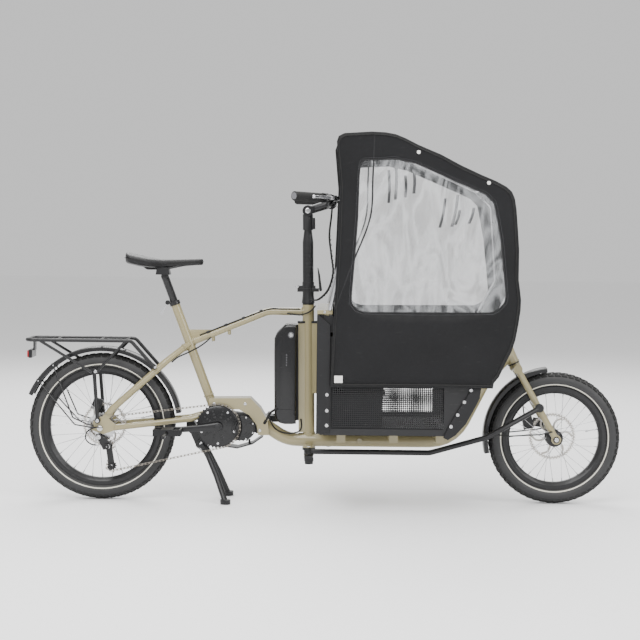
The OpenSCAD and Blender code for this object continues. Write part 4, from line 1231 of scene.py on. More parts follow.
    def arm(self, side: int) -> Shape:
        """One crank arm, on the right for -1 and on the left for 1."""
        tip = joint_place("right_pedal_spin" if side < 0 else "left_pedal_spin")
        along = (tip - self.crank)
        along = at(along.x, 0, along.z).normalized()
        up = at(-along.z, 0, along.x)
        rings = []
        for share, half, low, high in ((-0.10, 6, 79, 90), (-0.07, 13, 78.5, 91.6), (0.0, 17, 78, 92),
                                       (0.10, 15, 78, 92), (0.35, 11.5, 79, 90.5), (0.75, 10, 79, 90.5),
                                       (0.94, 11.5, 78.5, 91.5), (1.02, 11, 78.5, 91.5),
                                       (1.065, 5, 79.5, 90.5)):
            middle = self.crank + along * self.crank_length * share
            a, b = (low + high) / 2 * side, (high - low) / 2
            rings.append([middle + up * half * math.copysign(abs(math.cos(t)) ** 0.6, math.cos(t))
                          + ACROSS * (a + b * math.copysign(abs(math.sin(t)) ** 0.6, math.sin(t)))
                          for t in (2 * math.pi * k / 16 for k in range(16))])
        shape = Shape().loft(rings)
        shape.tube([tip + ACROSS * side * 91, tip + ACROSS * side * 93.5], 9, 16)
        shape.tube([tip + ACROSS * side * 93, tip + ACROSS * side * 172], 5.9, 14)
        shape.lathe([(0, 0), (10, 0), (10, 1.5), (8, 3), (0, 3)], self.crank + ACROSS * side * 91.5,
                    ACROSS * side, 24)
        return shape

    def cranks(self) -> None:
        """Both crank arms on their axle."""
        shape = self.arm(-1).join(self.arm(1))
        shape.tube([self.crank + RIGHT * 80, self.crank + LEFT * 80], 9.9, 20)
        piece(shape.object("crank_pair", 34), "cranks", POWDER, ("crank_arms",))

    def pedals(self) -> None:
        """Platform pedals with grip ridges and amber reflectors."""
        for name in ("right", "left"):
            tip = joint_place(name + "_pedal_spin")
            low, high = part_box("pedal_" + name)
            y0, y1 = low.y / MM, high.y / MM
            refined("pedal_" + name, MOULDED, 2.0, 30)
            ridge = Shape()
            for x in (-44, 44):
                for z in (-10.8, 9.2):
                    ridge.box(at(x - 1.4, -2.4, z), at(x + 1.4, 2.4, z + 1.6))
            teeth = Shape()
            for k in range(8):
                teeth.join(ridge.copy(Matrix.Translation(at(tip.x, y0 + 10 + (y1 - y0 - 20) * k / 7, tip.z))))
            piece(teeth.object("pedal_teeth_" + name), name + "_pedal", MOULDED)
            lights = Shape()
            for x in (-47.6, 46.2):
                lights.box(at(tip.x + x, y0 + 22, tip.z - 7), at(tip.x + x + 1.4, y1 - 22, tip.z + 7))
            piece(lights.object("pedal_reflector_" + name, bevel=0.3), name + "_pedal", AMBER)

    def derailleur(self) -> None:
        """The derailleur's knuckles, cage plates and bolts."""
        refined("derailleur", POWDER, 1.2, 30)
        u, low = self.upper, self.lower
        shape = Shape().disc(at(-786, -86.4, 228), RIGHT, 8, 4).disc(at(-752, -86.4, 196), RIGHT, 7, 4)
        shape.bolt(at(-786, -90.2, 228), RIGHT, 4.6, 2.4).bolt(at(-752, -90.2, 196), RIGHT, 3.6, 2.0)
        for spot in (u, low):
            shape.bolt(at(spot.x, -60.4, spot.z), RIGHT, 4.0, 1.8)
        piece(shape.object("derailleur_bolts"), "frame", STEEL)
        loop = smooth_path([at(-772, -84, 262), at(-800, -88, 262), at(-826, -90, 246), at(-830, -90, 222),
                            at(-812, -88, 204), at(-786, -86, 200)], 6)
        piece(Shape().tube(loop, 2.4, 10).object("derailleur_cable"), "frame", RUBBER)
        ferrule = Shape().tube(loop[-3:], 3.2, 10)
        piece(ferrule.object("derailleur_ferrule"), "frame", ALLOY)


# ---- frame, motor and battery --------------------------------------------------------------


@dataclass
class FrameSet:
    """The painted frame with its bearings, cables and fastenings.

    Attributes:
        weld: Thickness of a weld bead.
    """

    weld: float = 2.1

    def build(self) -> None:
        """Builds the frame's pieces."""
        refined("main_frame", PAINT, 0.6, 30)
        refined("rear_stays", PAINT, 0.6, 34)
        refined("rear_axle", STEEL, 0.6)
        refined("headset_bearings", POWDER, 0.5)
        refined("rear_caliper", POWDER, 1.4)
        refined("stand_bracket", POWDER, 1.5)
        self.welds()
        self.cables()
        self.fastenings()

    def bead(self, shape: Shape, centre: Vector, axis: Vector, radius: float) -> None:
        """A scalloped weld bead round a tube."""
        axis = axis.normalized()
        u = axis.orthogonal().normalized()
        v = axis.cross(u)
        path, sizes = [], []
        for k in range(72):
            t = 2 * math.pi * k / 72
            path.append(centre + (u * math.cos(t) + v * math.sin(t)) * radius)
            sizes.append(self.weld * (1.0 if k % 2 else 0.72))
        shape.tube(path, sizes, 8, loop=True)

    def welds(self) -> None:
        """Beads where tubes meet."""
        shape = Shape()
        seat, head = SEAT_LINE, HEAD_LINE
        top = at(276.4, 0, 115).normalized()
        foot = joint_place("fork_steer")
        self.bead(shape, at(-476.4, 0, 556) + top * 17.5, top, 13.6)
        self.bead(shape, at(-79.5, 0, 671), at(1, 0, 0), 13.6)
        self.bead(shape, at(-51, 0, 244), at(0, 0, 1), 20.8)
        self.bead(shape, at(-404, 0, 364) + seat * 8, seat, 16.9)
        self.bead(shape, foot + head * 101, head, 21.1)
        self.bead(shape, foot + head * 3, head, 21.1)
        for side in (1, -1):
            start = at(-475.7, 8 * side, 554.2)
            run = at(-84.3, 40 * side, -66.2).normalized()
            self.bead(shape, start + run * 26, run, 12.1)
            self.bead(shape, at(-560, 41 * side, 488), ACROSS, 7.2)
        piece(shape.object("weld_beads"), "frame", PAINT)

    def cables(self) -> None:
        """The inner wires and hoses that lie along the frame, with their clips."""
        routes = [
            [(-400, -12.8, 577), (-424, -24, 556), (-450, -30, 539), (-484, -36, 522), (-514, -42, 508),
             (-534, -52, 491)],
            [(-132, -15.6, 665), (-100, -22, 661), (-79, -26, 662), (-50, -28, 674), (-32, -28, 694)],
            [(-41, 24, 385), (-44, 25, 330), (-42, 25, 267), (-24, 27, 214), (10, 26, 192), (34, 20, 194)],
            [(-191, -26, 290), (-168, -24, 256), (-130, -26, 242), (-92, -24, 246), (-78, -19.2, 262),
             (-80, -19, 292)]]
        shape = Shape()
        for route in routes:
            shape.tube(smooth_path([at(*p) for p in route], 5), 2.5, 10)
        piece(shape.object("frame_hoses"), "frame", RUBBER, ("frame_cables",))
        clips = Shape()
        for k in range(4):
            spot = at(-410 + 62 * k, -10.5, 596.5 + 25.4 * k)
            clips.tube([spot + at(-5, 0, -2), spot + at(5, 0, 2)], 4.4, 10)
        along = smooth_path([at(-440, -9, 584), at(-330, -12, 629), at(-205, -12, 677), at(-150, -11, 680),
                             at(-86, -11, 680)], 6)
        piece(Shape().tube(along, 2.4, 10).object("top_tube_hose"), "frame", RUBBER)
        piece(clips.object("hose_clips", bevel=0.3), "frame", MOULDED)

    def fastenings(self) -> None:
        """Axle nuts, boss screws and the rear caliper's bolts."""
        axle = joint_place("rear_wheel_spin")
        shape = Shape().bolt(axle + RIGHT * 84, RIGHT, 8, 4).bolt(axle + LEFT * 84, LEFT, 8, 4)
        for x, z in ((-392, 564), (-336, 588)):
            shape.bolt(at(x, 0, z), at(0, 0, -1), 4.2, 2.4)
        for x in (60, 240, 400):
            for side in (1, -1):
                shape.bolt(at(x, 170 * side, 232), at(0, 0, -1), 4.5, 2.5)
        for x, z in ((-386, 345), (-276, 346)):
            for side in (1, -1):
                shape.bolt(at(x, 42 * side, z), ACROSS * side, 5.2, 2.6)
        shape.bolt(at(-224, 42, 252), LEFT, 5.2, 2.6).bolt(at(-224, -42, 252), RIGHT, 5.2, 2.6)
        caliper = centre_of("rear_caliper")
        for z in (-10, 12):
            shape.bolt(at(caliper.x - 8, 68, caliper.z + z), LEFT, 3.2, 2.0)
        piece(shape.object("frame_bolts"), "frame", STEEL)


@dataclass
class MotorUnit:
    """The mid motor with its round covers, the fins under it and the bearing cup at the crank.

    Attributes:
        cover_radius: Radius of the round side cover.
    """

    cover_radius: float = 43.0

    def build(self) -> None:
        """Builds the motor's pieces."""
        refined("motor_housing", MOULDED, 2.0, 36)
        refined("motor_covers", SMOOTH, 1.6, 36)
        centre = at(-284, -62, 262)
        ribs = Shape()
        for radius in (self.cover_radius - inset for inset in (5, 13, 21)):
            ribs.lathe([(radius - 1.2, -0.6), (radius + 1.2, -0.6), (radius + 0.7, 1.3),
                        (radius - 0.7, 1.3)], centre,
                       RIGHT, 56, loop=True)
        piece(ribs.object("motor_cover_ribs"), "frame", SMOOTH)
        screws, reach = Shape(), self.cover_radius - 3.5
        for degrees in (-72, -24, 24, 72):
            t = math.radians(degrees)
            screws.bolt(centre + at(reach * math.cos(t), 0.4, reach * math.sin(t)), RIGHT, 3.0, 2.2)
        piece(screws.object("motor_cover_screws"), "frame", STEEL)
        fins = Shape()
        for k in range(7):
            x = -350 + 13 * k
            fins.prism([(x, 214), (x + 5, 214), (x + 7, 221), (x + 2, 221)], -38, 50)
        piece(fins.object("motor_fins", bevel=0.5), "frame", MOULDED)
        crank = joint_place("crank_spin")
        cup = Shape().lathe([(12, 0), (24, 0), (27, 2), (27, 5), (20, 6.5), (12, 6.5)],
                            crank + LEFT * 57.5, LEFT, 40, loop=True)
        piece(cup.object("crank_bearing_cup", 30), "frame", SMOOTH)


@dataclass
class Battery:
    """The battery in its rail, with its lock and its power lead.

    Attributes:
        half_width: Half of its width.
        corner: Radius of its long edges.
    """

    half_width: float = 45.0
    corner: float = 16.0

    def build(self) -> None:
        """Builds the battery's pieces."""
        self.case()
        refined("battery_rail", MOULDED, 1.0)
        lock = joint_place("battery_key_turn")
        barrel = Shape().disc(at(lock.x, -46.6, lock.z), RIGHT, 6.6, 1.4, 28, 0.5)
        barrel.box(at(lock.x - 0.9, -48.6, lock.z - 4), at(lock.x + 0.9, -47.8, lock.z + 4))
        piece(barrel.object("key_barrel", bevel=0.2), "battery_key", STEEL, ("battery_lock",))
        ring = Shape().lathe([(7.4, 0), (10.5, 0), (10.5, 1.6), (9.5, 2.6), (7.4, 2.6)],
                             at(lock.x, -44.6, lock.z), RIGHT, 32, loop=True)
        piece(ring.object("key_collar"), "battery_pack", GREY)
        self.strip()
        self.plug()

    def case(self) -> None:
        """The case: its outline in steps of depth, which rounds its sides."""
        outline = [(-98, 628), (-118, 630), (-137, 628), (-150, 614), (-168, 594), (-175.5, 578), (-176, 540),
                   (-174.5, 380), (-173, 306), (-168, 290), (-156, 279), (-138, 274.3),
                   (-112, 274.3), (-97, 276), (-97.4, 300), (-98.2, 420), (-98.2, 560)]
        middle = (-136.0, 450.0)
        rings = []
        for share in (-1.0, -0.995, -0.96, -0.88, -0.74, -0.5, -0.06, -0.045, 0.045, 0.06, 0.5, 0.74,
                      0.88, 0.96, 0.995, 1.0):
            y = self.half_width * share
            pull = self.corner * (1 - math.sqrt(max(0.0, 1 - max(0.0, (abs(share) - 0.64) / 0.36) ** 2)))
            pull += 0.9 if abs(share) < 0.05 else 0
            ring = []
            for x, z in outline:
                near = 0.25 if x > -101 else 1.0
                dx = max(-1.0, min(1.0, (x - middle[0]) / 34)) * pull * near
                dz = max(-1.0, min(1.0, (z - middle[1]) / 150)) * pull * 0.8
                ring.append(at(x - dx, y, z - dz))
            rings.append(ring)
        piece(Shape().loft(rings).object("battery_case", 34), "battery_pack", SMOOTH, ("battery",))

    def strip(self) -> None:
        """A light line down the rear edge and a row of charge lamps."""
        shape = Shape()
        for side in (1, -1):
            line = smooth_path([at(-151, 30 * side, 612), at(-170.5, 30.5 * side, 588),
                                at(-174.8, 31 * side, 540), at(-173.6, 31 * side, 400),
                                at(-171.8, 31 * side, 306)], 5)
            shape.tube(line, 1.1, 8)
        piece(shape.object("battery_edge_line"), "battery_pack", GREY)
        lamps = Shape()
        for k in range(5):
            lamps.disc(at(-132, -44.4, 520 - 9 * k), RIGHT, 2.2, 1.2, 12, 0.3)
        piece(lamps.object("charge_lamps"), "battery_pack", GREY)
        groove = Shape().prism([(-170, 327), (-101, 327), (-101, 328.6), (-170, 328.6)], -45.3, 45.3)
        piece(groove.object("battery_foot_seam"), "battery_pack", MOULDED)

    def plug(self) -> None:
        """The power plug at the foot, with its lead into the motor."""
        lead = smooth_path([at(-164, -38, 330), at(-184, -41, 318), at(-196, -40, 300),
                            at(-206, -38, 282)], 6)
        shape = Shape().tube(lead, 4.2, 12)
        shape.tube([at(-158, -37, 333), at(-171, -39, 326)], 7.5, 16)
        shape.tube([at(-202, -39, 289), at(-209, -38, 276)], 6.4, 14)
        piece(shape.object("power_lead"), "frame", RUBBER)


@dataclass
class CentreStand:
    """The two-legged stand with ribbed rubber feet."""

    foot_radius: float = 18.0

    def build(self) -> None:
        """Builds the stand's pieces."""
        refined("kickstand", POWDER, 0.8, 34)
        shape = Shape()
        for side in (1, -1):
            for z in (2.2, 6.2, 10.2):
                shape.lathe([(self.foot_radius - 1.2, z - 1.0), (self.foot_radius + 0.2, z),
                             (self.foot_radius - 1.2, z + 1.0)],
                            at(-340, 101 * side, 0), at(0, 0, 1), 36, loop=True)
        piece(shape.object("stand_foot_ribs"), "stand", RUBBER)
        pivot = joint_place("stand_fold")
        bolts = Shape().bolt(pivot + LEFT * 38, LEFT, 6.5, 3.4).bolt(pivot + RIGHT * 38, RIGHT, 6.5, 3.4)
        piece(bolts.object("stand_bolts"), "stand", STEEL)
        spring = [at(-452 + 0.36 * k, -20 + 3.6 * math.cos(k * 0.8), 196 - 0.30 * k + 3.6 * math.sin(k * 0.8))
                  for k in range(96)]
        piece(Shape().tube(spring, 0.9, 6).object("stand_spring"), "frame", STEEL)


# ---- saddle, rack and rear mudguard --------------------------------------------------------


@dataclass
class SaddleSet:
    """Seatpost, saddle and the quick release.

    Attributes:
        nose: Front end of the saddle.
        tail: Rear end of the saddle.
        half_width: Half of its widest width.
    """

    nose: float = -429.0
    tail: float = -702.0
    half_width: float = 78.0

    def build(self) -> None:
        """Builds the saddle's pieces."""
        refined("seatpost", POWDER, 0.6)
        refined("saddle_rails", SMOOTH, 0.0, 50)
        refined("seat_clamp", POWDER, 0.8)
        refined("seat_lever", ALLOY, 0.8)
        self.cover()
        bolt = Shape().bolt(at(-588, 0, 812), at(0, 0, 1), 4, 2.5)
        bolt.tube([at(-588, 0, 800), at(-588, 0, 812)], 2.6, 10)
        piece(bolt.object("rail_bolt"), "seat", STEEL)
        marks = Shape()
        seat = SEAT_LINE
        top = at(-527, 0, 690)
        for k in range(9):
            middle = top + seat * (24 + 6 * k)
            marks.box(middle + at(11.5, -0.9 if k % 3 else -1.4, -0.3),
                      middle + at(13.62, 0.9 if k % 3 else 1.4, 0.3))
        piece(marks.object("post_height_marks"), "seat", GREY)

    def section(self, share: float) -> tuple[float, float, float, float]:
        """Middle, half width, top and depth of the saddle at a share of its length from the nose."""
        x = self.nose + (self.tail - self.nose) * share
        wide = 19 + (self.half_width - 19) / (1 + math.exp(-(share - 0.60) * 13))
        end = 1 - max(0.0, (share - 0.93) / 0.07) ** 2 * 0.35
        nose = 0.55 + 0.45 * min(1.0, share / 0.06) ** 0.5
        top = 853 + 1.5 * math.cos(share * math.pi * 2) + 58 * max(0.0, share - 0.5) ** 1.4
        deep = 27 + 21 * min(1.0, share / 0.8) ** 1.3
        return x, wide * end * nose, top, deep

    def cover(self) -> None:
        """The padded cover over its shell, with a relief channel and a seam."""
        rings: list[Points] = []
        seam: list[Points] = [[], []]
        steps = 26
        for i in range(steps + 1):
            x, wide, top, deep = self.section(i / steps)
            ring = []
            for k in range(28):
                t = 2 * math.pi * k / 28
                c, s = math.cos(t), math.sin(t)
                y = wide * math.copysign(abs(c) ** 0.75, c)
                if s >= 0:
                    z = top - deep * 0.42 * (1 - s ** 0.65)
                    z -= 3.2 * math.exp(-(y / 7.5) ** 2) * math.sin(math.pi * min(1, max(0, i / steps)))
                else:
                    z = top - deep * (0.42 + 0.42 * abs(s) ** 0.5)
                ring.append(at(x, y * (1 if s >= 0 else 0.94), z))
            rings.append(ring)
            for side in (0, 1):
                seam[side].append(at(x, (wide + 0.4) * (1 if side else -1), top - deep * 0.42))
        shape = Shape().loft(rings)
        obj = shape.object("saddle_pad", 70)
        modifier = obj.modifiers.new("soft", "SUBSURF")
        modifier.levels = modifier.render_levels = 1
        piece(obj, "seat", COVER, ("saddle",))
        line = Shape().tube(smooth_path(seam[0], 2), 1.1, 6).tube(smooth_path(seam[1], 2), 1.1, 6)
        piece(line.object("saddle_seam"), "seat", RUBBER)
        shell = Shape()
        for side in (1, -1):
            shell.prism([(-690, 838), (-676, 848), (-640, 846), (-650, 836)], min(18 * side, 30 * side),
                        max(18 * side, 30 * side))
        shell.prism([(-500, 831), (-470, 832), (-470, 840), (-500, 841)], -15, 15)
        piece(shell.object("rail_sockets", bevel=1.0), "seat", MOULDED)


@dataclass
class CarrierAndGuards:
    """The rear rack, the rear mudguard and the tail light.

    Attributes:
        lens_depth: Depth of the tail light's lens.
        clip_reach: Distance of the rear guard's clips from the axle.
    """

    lens_depth: float = 6.5
    clip_reach: float = 275.0

    def build(self) -> None:
        """Builds the pieces."""
        refined("rear_rack", POWDER, 0.0, 46)
        refined("rear_mudguard", SMOOTH, 0.4, 44)
        low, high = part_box("tail_light")
        low, high = low / MM, high / MM
        housing = Shape().box(at(low.x + 5.2, low.y, low.z), at(high.x, high.y, high.z))
        piece(housing.object("tail_light_case", bevel=2.5), "frame", SMOOTH, ("tail_light",))
        lens = Shape().box(at(low.x, low.y + 2.5, low.z + 2.5), at(low.x + self.lens_depth, high.y - 2.5,
                                                                   high.z - 2.5))
        piece(lens.object("tail_lens", bevel=2.0), "frame", LENS)
        ribs = Shape()
        for k in range(9):
            y = low.y + 9 + 9 * k
            ribs.box(at(low.x - 0.5, y - 0.6, low.z + 5), at(low.x + 0.4, y + 0.6, high.z - 5))
        piece(ribs.object("tail_lens_ribs"), "frame", LENS)
        self.deck()
        self.guard_trim()

    def deck(self) -> None:
        """Screws and rubber pads of the rack."""
        shape = Shape()
        for side in (1, -1):
            shape.bolt(at(-798, 83.5 * side, 458), ACROSS * side, 5.5, 3)
            shape.bolt(at(-790, 91.4 * side, 286), ACROSS * side, 6.0, 3.2)
            shape.bolt(at(-590, 77.5 * side, 474), ACROSS * side, 4.5, 2.6)
        piece(shape.object("rack_screws"), "frame", STEEL)
        pads = Shape()
        for x in (-940, -788, -696):
            for y in (-40, 0, 40):
                pads.tube([at(x, y - 9, 566), at(x, y + 9, 566)], 4.7, 12)
        piece(pads.object("rack_pads", bevel=0.3), "frame", RUBBER)

    def guard_trim(self) -> None:
        """Clips that hold the guard stays, with their screws."""
        axle = joint_place("rear_wheel_spin")
        clips, screws = Shape(), Shape()
        for degrees in (144.5, 128.5):
            t = math.radians(degrees)
            mid = axle + at(math.cos(t), 0, math.sin(t)) * self.clip_reach
            for side in (1, -1):
                clips.box(mid + at(-7, 31.5 * side - 2, -7), mid + at(7, 31.5 * side + 3.4, 7))
                screws.bolt(mid + ACROSS * side * 35.2, ACROSS * side, 2.6, 1.6)
        piece(clips.object("guard_clips", bevel=1.2), "frame", MOULDED)
        piece(screws.object("guard_clip_screws"), "frame", STEEL)


# ---- steering ------------------------------------------------------------------------------


def column_frame(z: float, x: float = 0.0, y: float = 0.0) -> Vector:
    """A point measured up the steering column from its foot."""
    lean = COLUMN_LEAN
    foot = joint_place("steer")
    return foot + at(x * math.cos(lean) - z * math.sin(lean), y, x * math.sin(lean) + z * math.cos(lean))


@dataclass
class Cockpit:
    """Column, post, bar, grips and everything clamped to the bar.

    Attributes:
        bend: Middle of the bend on the left side of the bar.
        end: Left end of the bar.
        grip_length: Length of a grip.
    """

    bend: tuple[float, float, float] = (24.0, 205.0, 1066.0)
    end: tuple[float, float, float] = (-104.0, 336.0, 1071.0)
    grip_length: float = 128.0

    def build(self) -> None:
        """Builds the pieces."""
        refined("steering_column", POWDER, 1.0, 32)
        refined("bar_post", POWDER, 1.0, 32)
        refined("fold_lever", POWDER, 0.8)
        refined("handlebar", POWDER, 0.5, 40)
        refined("brake_lever_right", ALLOY, 0.0, 50)
        refined("brake_lever_left", ALLOY, 0.0, 50)
        self.grips()
        self.controls()
        self.bolts()
        self.hoses()

    def along(self, distance: float, side: int) -> Vector:
        """A point on the bar, measured inwards from its end."""
        end, bend = at(*self.end), at(*self.bend)
        p = end + (bend - end).normalized() * distance
        return at(p.x, p.y * side, p.z)

    def grips(self) -> None:
        """Soft grips with ribs, and grey end plugs."""
        profile = [(0, -4), (13.5, -4), (16, -1.5), (16, 1), (15.2, 3)]
        profile += [(15.9 if k % 2 else 14.7, 6 + 2.4 * k) for k in range(44)]
        length = self.grip_length
        profile += [(15.2, length - 14), (16, length - 11), (16, length - 4), (14, length - 0.5),
                    (11.5, length)]
        grips, plugs = Shape(), Shape()
        for side in (1, -1):
            start = self.along(0, side)
            inward = (self.along(50, side) - start).normalized()
            grips.lathe(profile[:], start, inward, 28)
            plugs.disc(start - inward * 4.4, inward, 12.5, 4.0, 28, 1.0)
        piece(grips.object("ribbed_grips", 28), "bars", RUBBER, ("grips",))
        piece(plugs.object("grip_plugs"), "bars", GREY)

    def controls(self) -> None:
        """Brake reservoirs, the shift trigger, the bell and the display."""
        tanks, trims, lid = Shape(), Shape(), Shape()
        for side in (1, -1):
            base = self.along(142, side)
            out = (self.along(0, side) - base).normalized()
            fore = at(out.y * side, -out.x * side, 0).normalized()
            body = base + fore * 20
            tanks.loft([[body - out * s + fore * w * math.cos(t) + at(0, 0, h * math.sin(t))
                         for t in (2 * math.pi * k / 16 for k in range(16))]
                        for s, w, h in ((-6, 5, 5), (-4, 9, 9), (6, 10, 10), (34, 8.5, 9),
                                        (52, 6, 6.5), (56, 3, 3))])
            trims.bolt(base - fore * 16.5, -fore, 3.2, 2.2).bolt(body + at(0, 0, 9.5), at(0, 0, 1), 3.0, 2.0)
            lid.box(body - out * 26 + at(-7, -7, 8.2), body - out * 10 + at(7, 7, 10.2))
        piece(tanks.object("brake_reservoirs", 50), "bars", SMOOTH)
        piece(trims.object("brake_clamp_bolts"), "bars", STEEL)
        shift = self.along(166, -1)
        inward = (self.along(190, -1) - shift).normalized()
        trigger = Shape().tube([shift - inward * 7, shift + inward * 7], 15, 24)
        trigger.lathe([(0, 0), (13, 0), (15, 3), (15, 9), (11, 13), (0, 13)], shift + at(8, 0, -14),
                      at(0.3, 0, -1), 24)
        piece(trigger.object("shift_body", 34, bevel=0.6), "bars", SMOOTH)
        paddle = Shape()
        paddle.loft([[shift + at(4 + a, 6 + b, -26 - c) for a, b, c in ring] for ring in (
            [(0, 0, 0), (9, 0, 0), (9, 0, 3), (0, 0, 3)], [(-4, 24, 1), (6, 22, 1), (6, 22, 4), (-4, 24, 4)],
            [(-14, 36, 4), (-6, 38, 4), (-6, 38, 6.5), (-14, 36, 6.5)])])
        piece(paddle.object("shift_paddle", bevel=0.8), "bars", SMOOTH)
        bell = self.along(172, 1)
        dome = Shape().tube([bell - at(0, 6, 0), bell + at(0, 6, 0)], 14, 20)
        dome.lathe([(0, 26), (7, 25.4), (13, 22.5), (16.5, 18), (17, 14), (15.5, 14), (0, 14)], bell,
                   at(0, 0, 1), 32)
        piece(dome.object("bell", 30), "bars", ALLOY)
        low, high = at(16, 30, 1071), at(40, 96, 1083)
        screen = Shape().box(low, high)
        screen.tube([at(19, 42, 1053), at(19, 50, 1053)], 18, 24).tube([at(19, 78, 1054),
                                                                        at(19, 86, 1054)], 17.5, 24)
        piece(screen.object("ride_display", bevel=2.2), "bars", SMOOTH)

    def bolts(self) -> None:
        """Pivot and clamp bolts of the post and the stem."""
        shape = Shape()
        pivot = column_frame(POST_FOOT + 273)
        for side in (1, -1):
            shape.bolt(pivot + ACROSS * side * 24, ACROSS * side, 9.5, 3.6)
        bar = at(19, 0, 1053)
        for side in (1, -1):
            for dz in (-12, 12):
                shape.bolt(bar + at(19.4, 15 * side, dz), at(1, 0, dz * 0.02), 3.2, 2.6)
        hinge = column_frame(POST_FOOT + 5, -38)
        for side in (1, -1):
            shape.bolt(hinge + ACROSS * side * 15, ACROSS * side, 5.0, 2.2)
        clamp = column_frame(POST_FOOT + 233, 26.5)
        for dz in (-10, 10):
            shape.bolt(clamp + at(0, 0, dz), at(1, 0, 0), 3.0, 2.2)
        piece(shape.object("post_bolts"), "bars", STEEL)
        scale = Shape()
        for k in range(7):
            mid = column_frame(POST_FOOT + 40 + 14 * k)
            scale.lathe([(18.9, -0.4), (19.3, -0.4), (19.3, 0.4), (18.9, 0.4)], mid, at(-0.014, 0, 1),
                        40, loop=True)
        piece(scale.object("post_rings"), "bars", SMOOTH)

    def hoses(self) -> None:
        """Hoses from the column to the bar, in a spiral wrap lower down."""
        route = [(-46, -26.2, 712), (-20, -40, 716), (12, -52, 750), (28, -60, 810), (22, -74, 870),
                 (14, -96, 940), (20, -124, 1010), (22, -150, 1047.4)]
        for side, name in ((1, "right"), (-1, "left")):
            path = smooth_path([at(x, y * side, z) for x, y, z in route], 8)
            bundle = Shape()
            for turn in range(3 if side > 0 else 2):
                strand = []
                for i, p in enumerate(path):
                    t = 2 * math.pi * turn / 3 + i * 0.09
                    strand.append(p + at(1.7 * math.cos(t), 1.7 * math.sin(t), 0))
                bundle.tube(strand, 1.6, 8)
            obj = bundle.object("bar_hoses_" + name)
            obj.data.materials.append(RUBBER.material())
            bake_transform(obj)
            LOG.info("%s bends from the steering to the bars", obj.name)
            if side > 0:
                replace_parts(obj, "control_cables")
        wrap = []
        low = smooth_path([at(*p) for p in route[:6]], 60)
        for i, p in enumerate(low):
            t = i * 0.42
            wrap.append(p + at(4.0 * math.cos(t), 4.0 * math.sin(t), 0.0))
        coil = Shape().tube(wrap, 0.9, 5).object("spiral_wrap")
        coil.data.materials.append(MOULDED.material())
        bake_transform(coil)
        LOG.info("%s bends from the steering to the bars", coil.name)


@dataclass
class ForkAndLink:
    """The painted fork, its fittings and the drag link.

    Attributes:
        bolt_radius: Radius of the axle's and the head's bolts.
    """

    bolt_radius: float = 7.5

    def build(self) -> None:
        """Builds the pieces."""
        refined("fork", PAINT, 1.2, 32)
        refined("fork_fittings", POWDER, 0.6, 40)
        refined("steering_rod", POWDER, 0.6, 36)
        crown = joint_place("fork_steer")
        axle = joint_place("front_wheel_spin")
        shape = Shape()
        for side in (1, -1):
            shape.bolt(axle + ACROSS * side * 74, ACROSS * side, self.bolt_radius, 3.4)
        head = HEAD_LINE
        shape.bolt(crown + head * 118, head, self.bolt_radius, 2.2)
        for z in (268, 296):
            shape.bolt(at(722 - (z - 268) * 0.2, 56, z), LEFT, 3.0, 2.0)
        piece(shape.object("fork_bolts"), "fork_body", STEEL)
        boot = Shape()
        rear = at(-51, -88, 186)
        boot.lathe([(8, -9.5), (13, -9), (11, -6.5), (13.5, -4.5), (12.2, 0), (13, 6), (10, 8.5),
                    (5, 9)], rear,
                   at(0, 0, 1), 28)
        piece(boot.object("rear_ball_boot", 60), "drag_link", RUBBER)
        nut = Shape().bolt(at(-51, -88, 202), at(0, 0, 1), 6, 3)
        piece(nut.object("rear_ball_nut"), "steering", STEEL)
        bead = Shape()
        for side in (1, -1):
            mid = crown - head * 20 + ACROSS * side * 50
            ring = [mid + (head * math.cos(t) + head.cross(ACROSS) * math.sin(t)) * 15.8
                    for t in (2 * math.pi * k / 40 for k in range(40))]
            bead.tube(ring, 1.8, 8, loop=True)
        piece(bead.object("fork_weld_beads"), "fork_body", PAINT)
        hose = smooth_path([at(716, 40, 306), at(712, 40, 350), at(724, 52, 392), at(708, 56, 430),
                            at(690, 34, 462)], 6)
        piece(Shape().tube(hose, 2.4, 10).object("front_brake_hose"), "fork_body", RUBBER)


# ---- cargo box and canopy ------------------------------------------------------------------


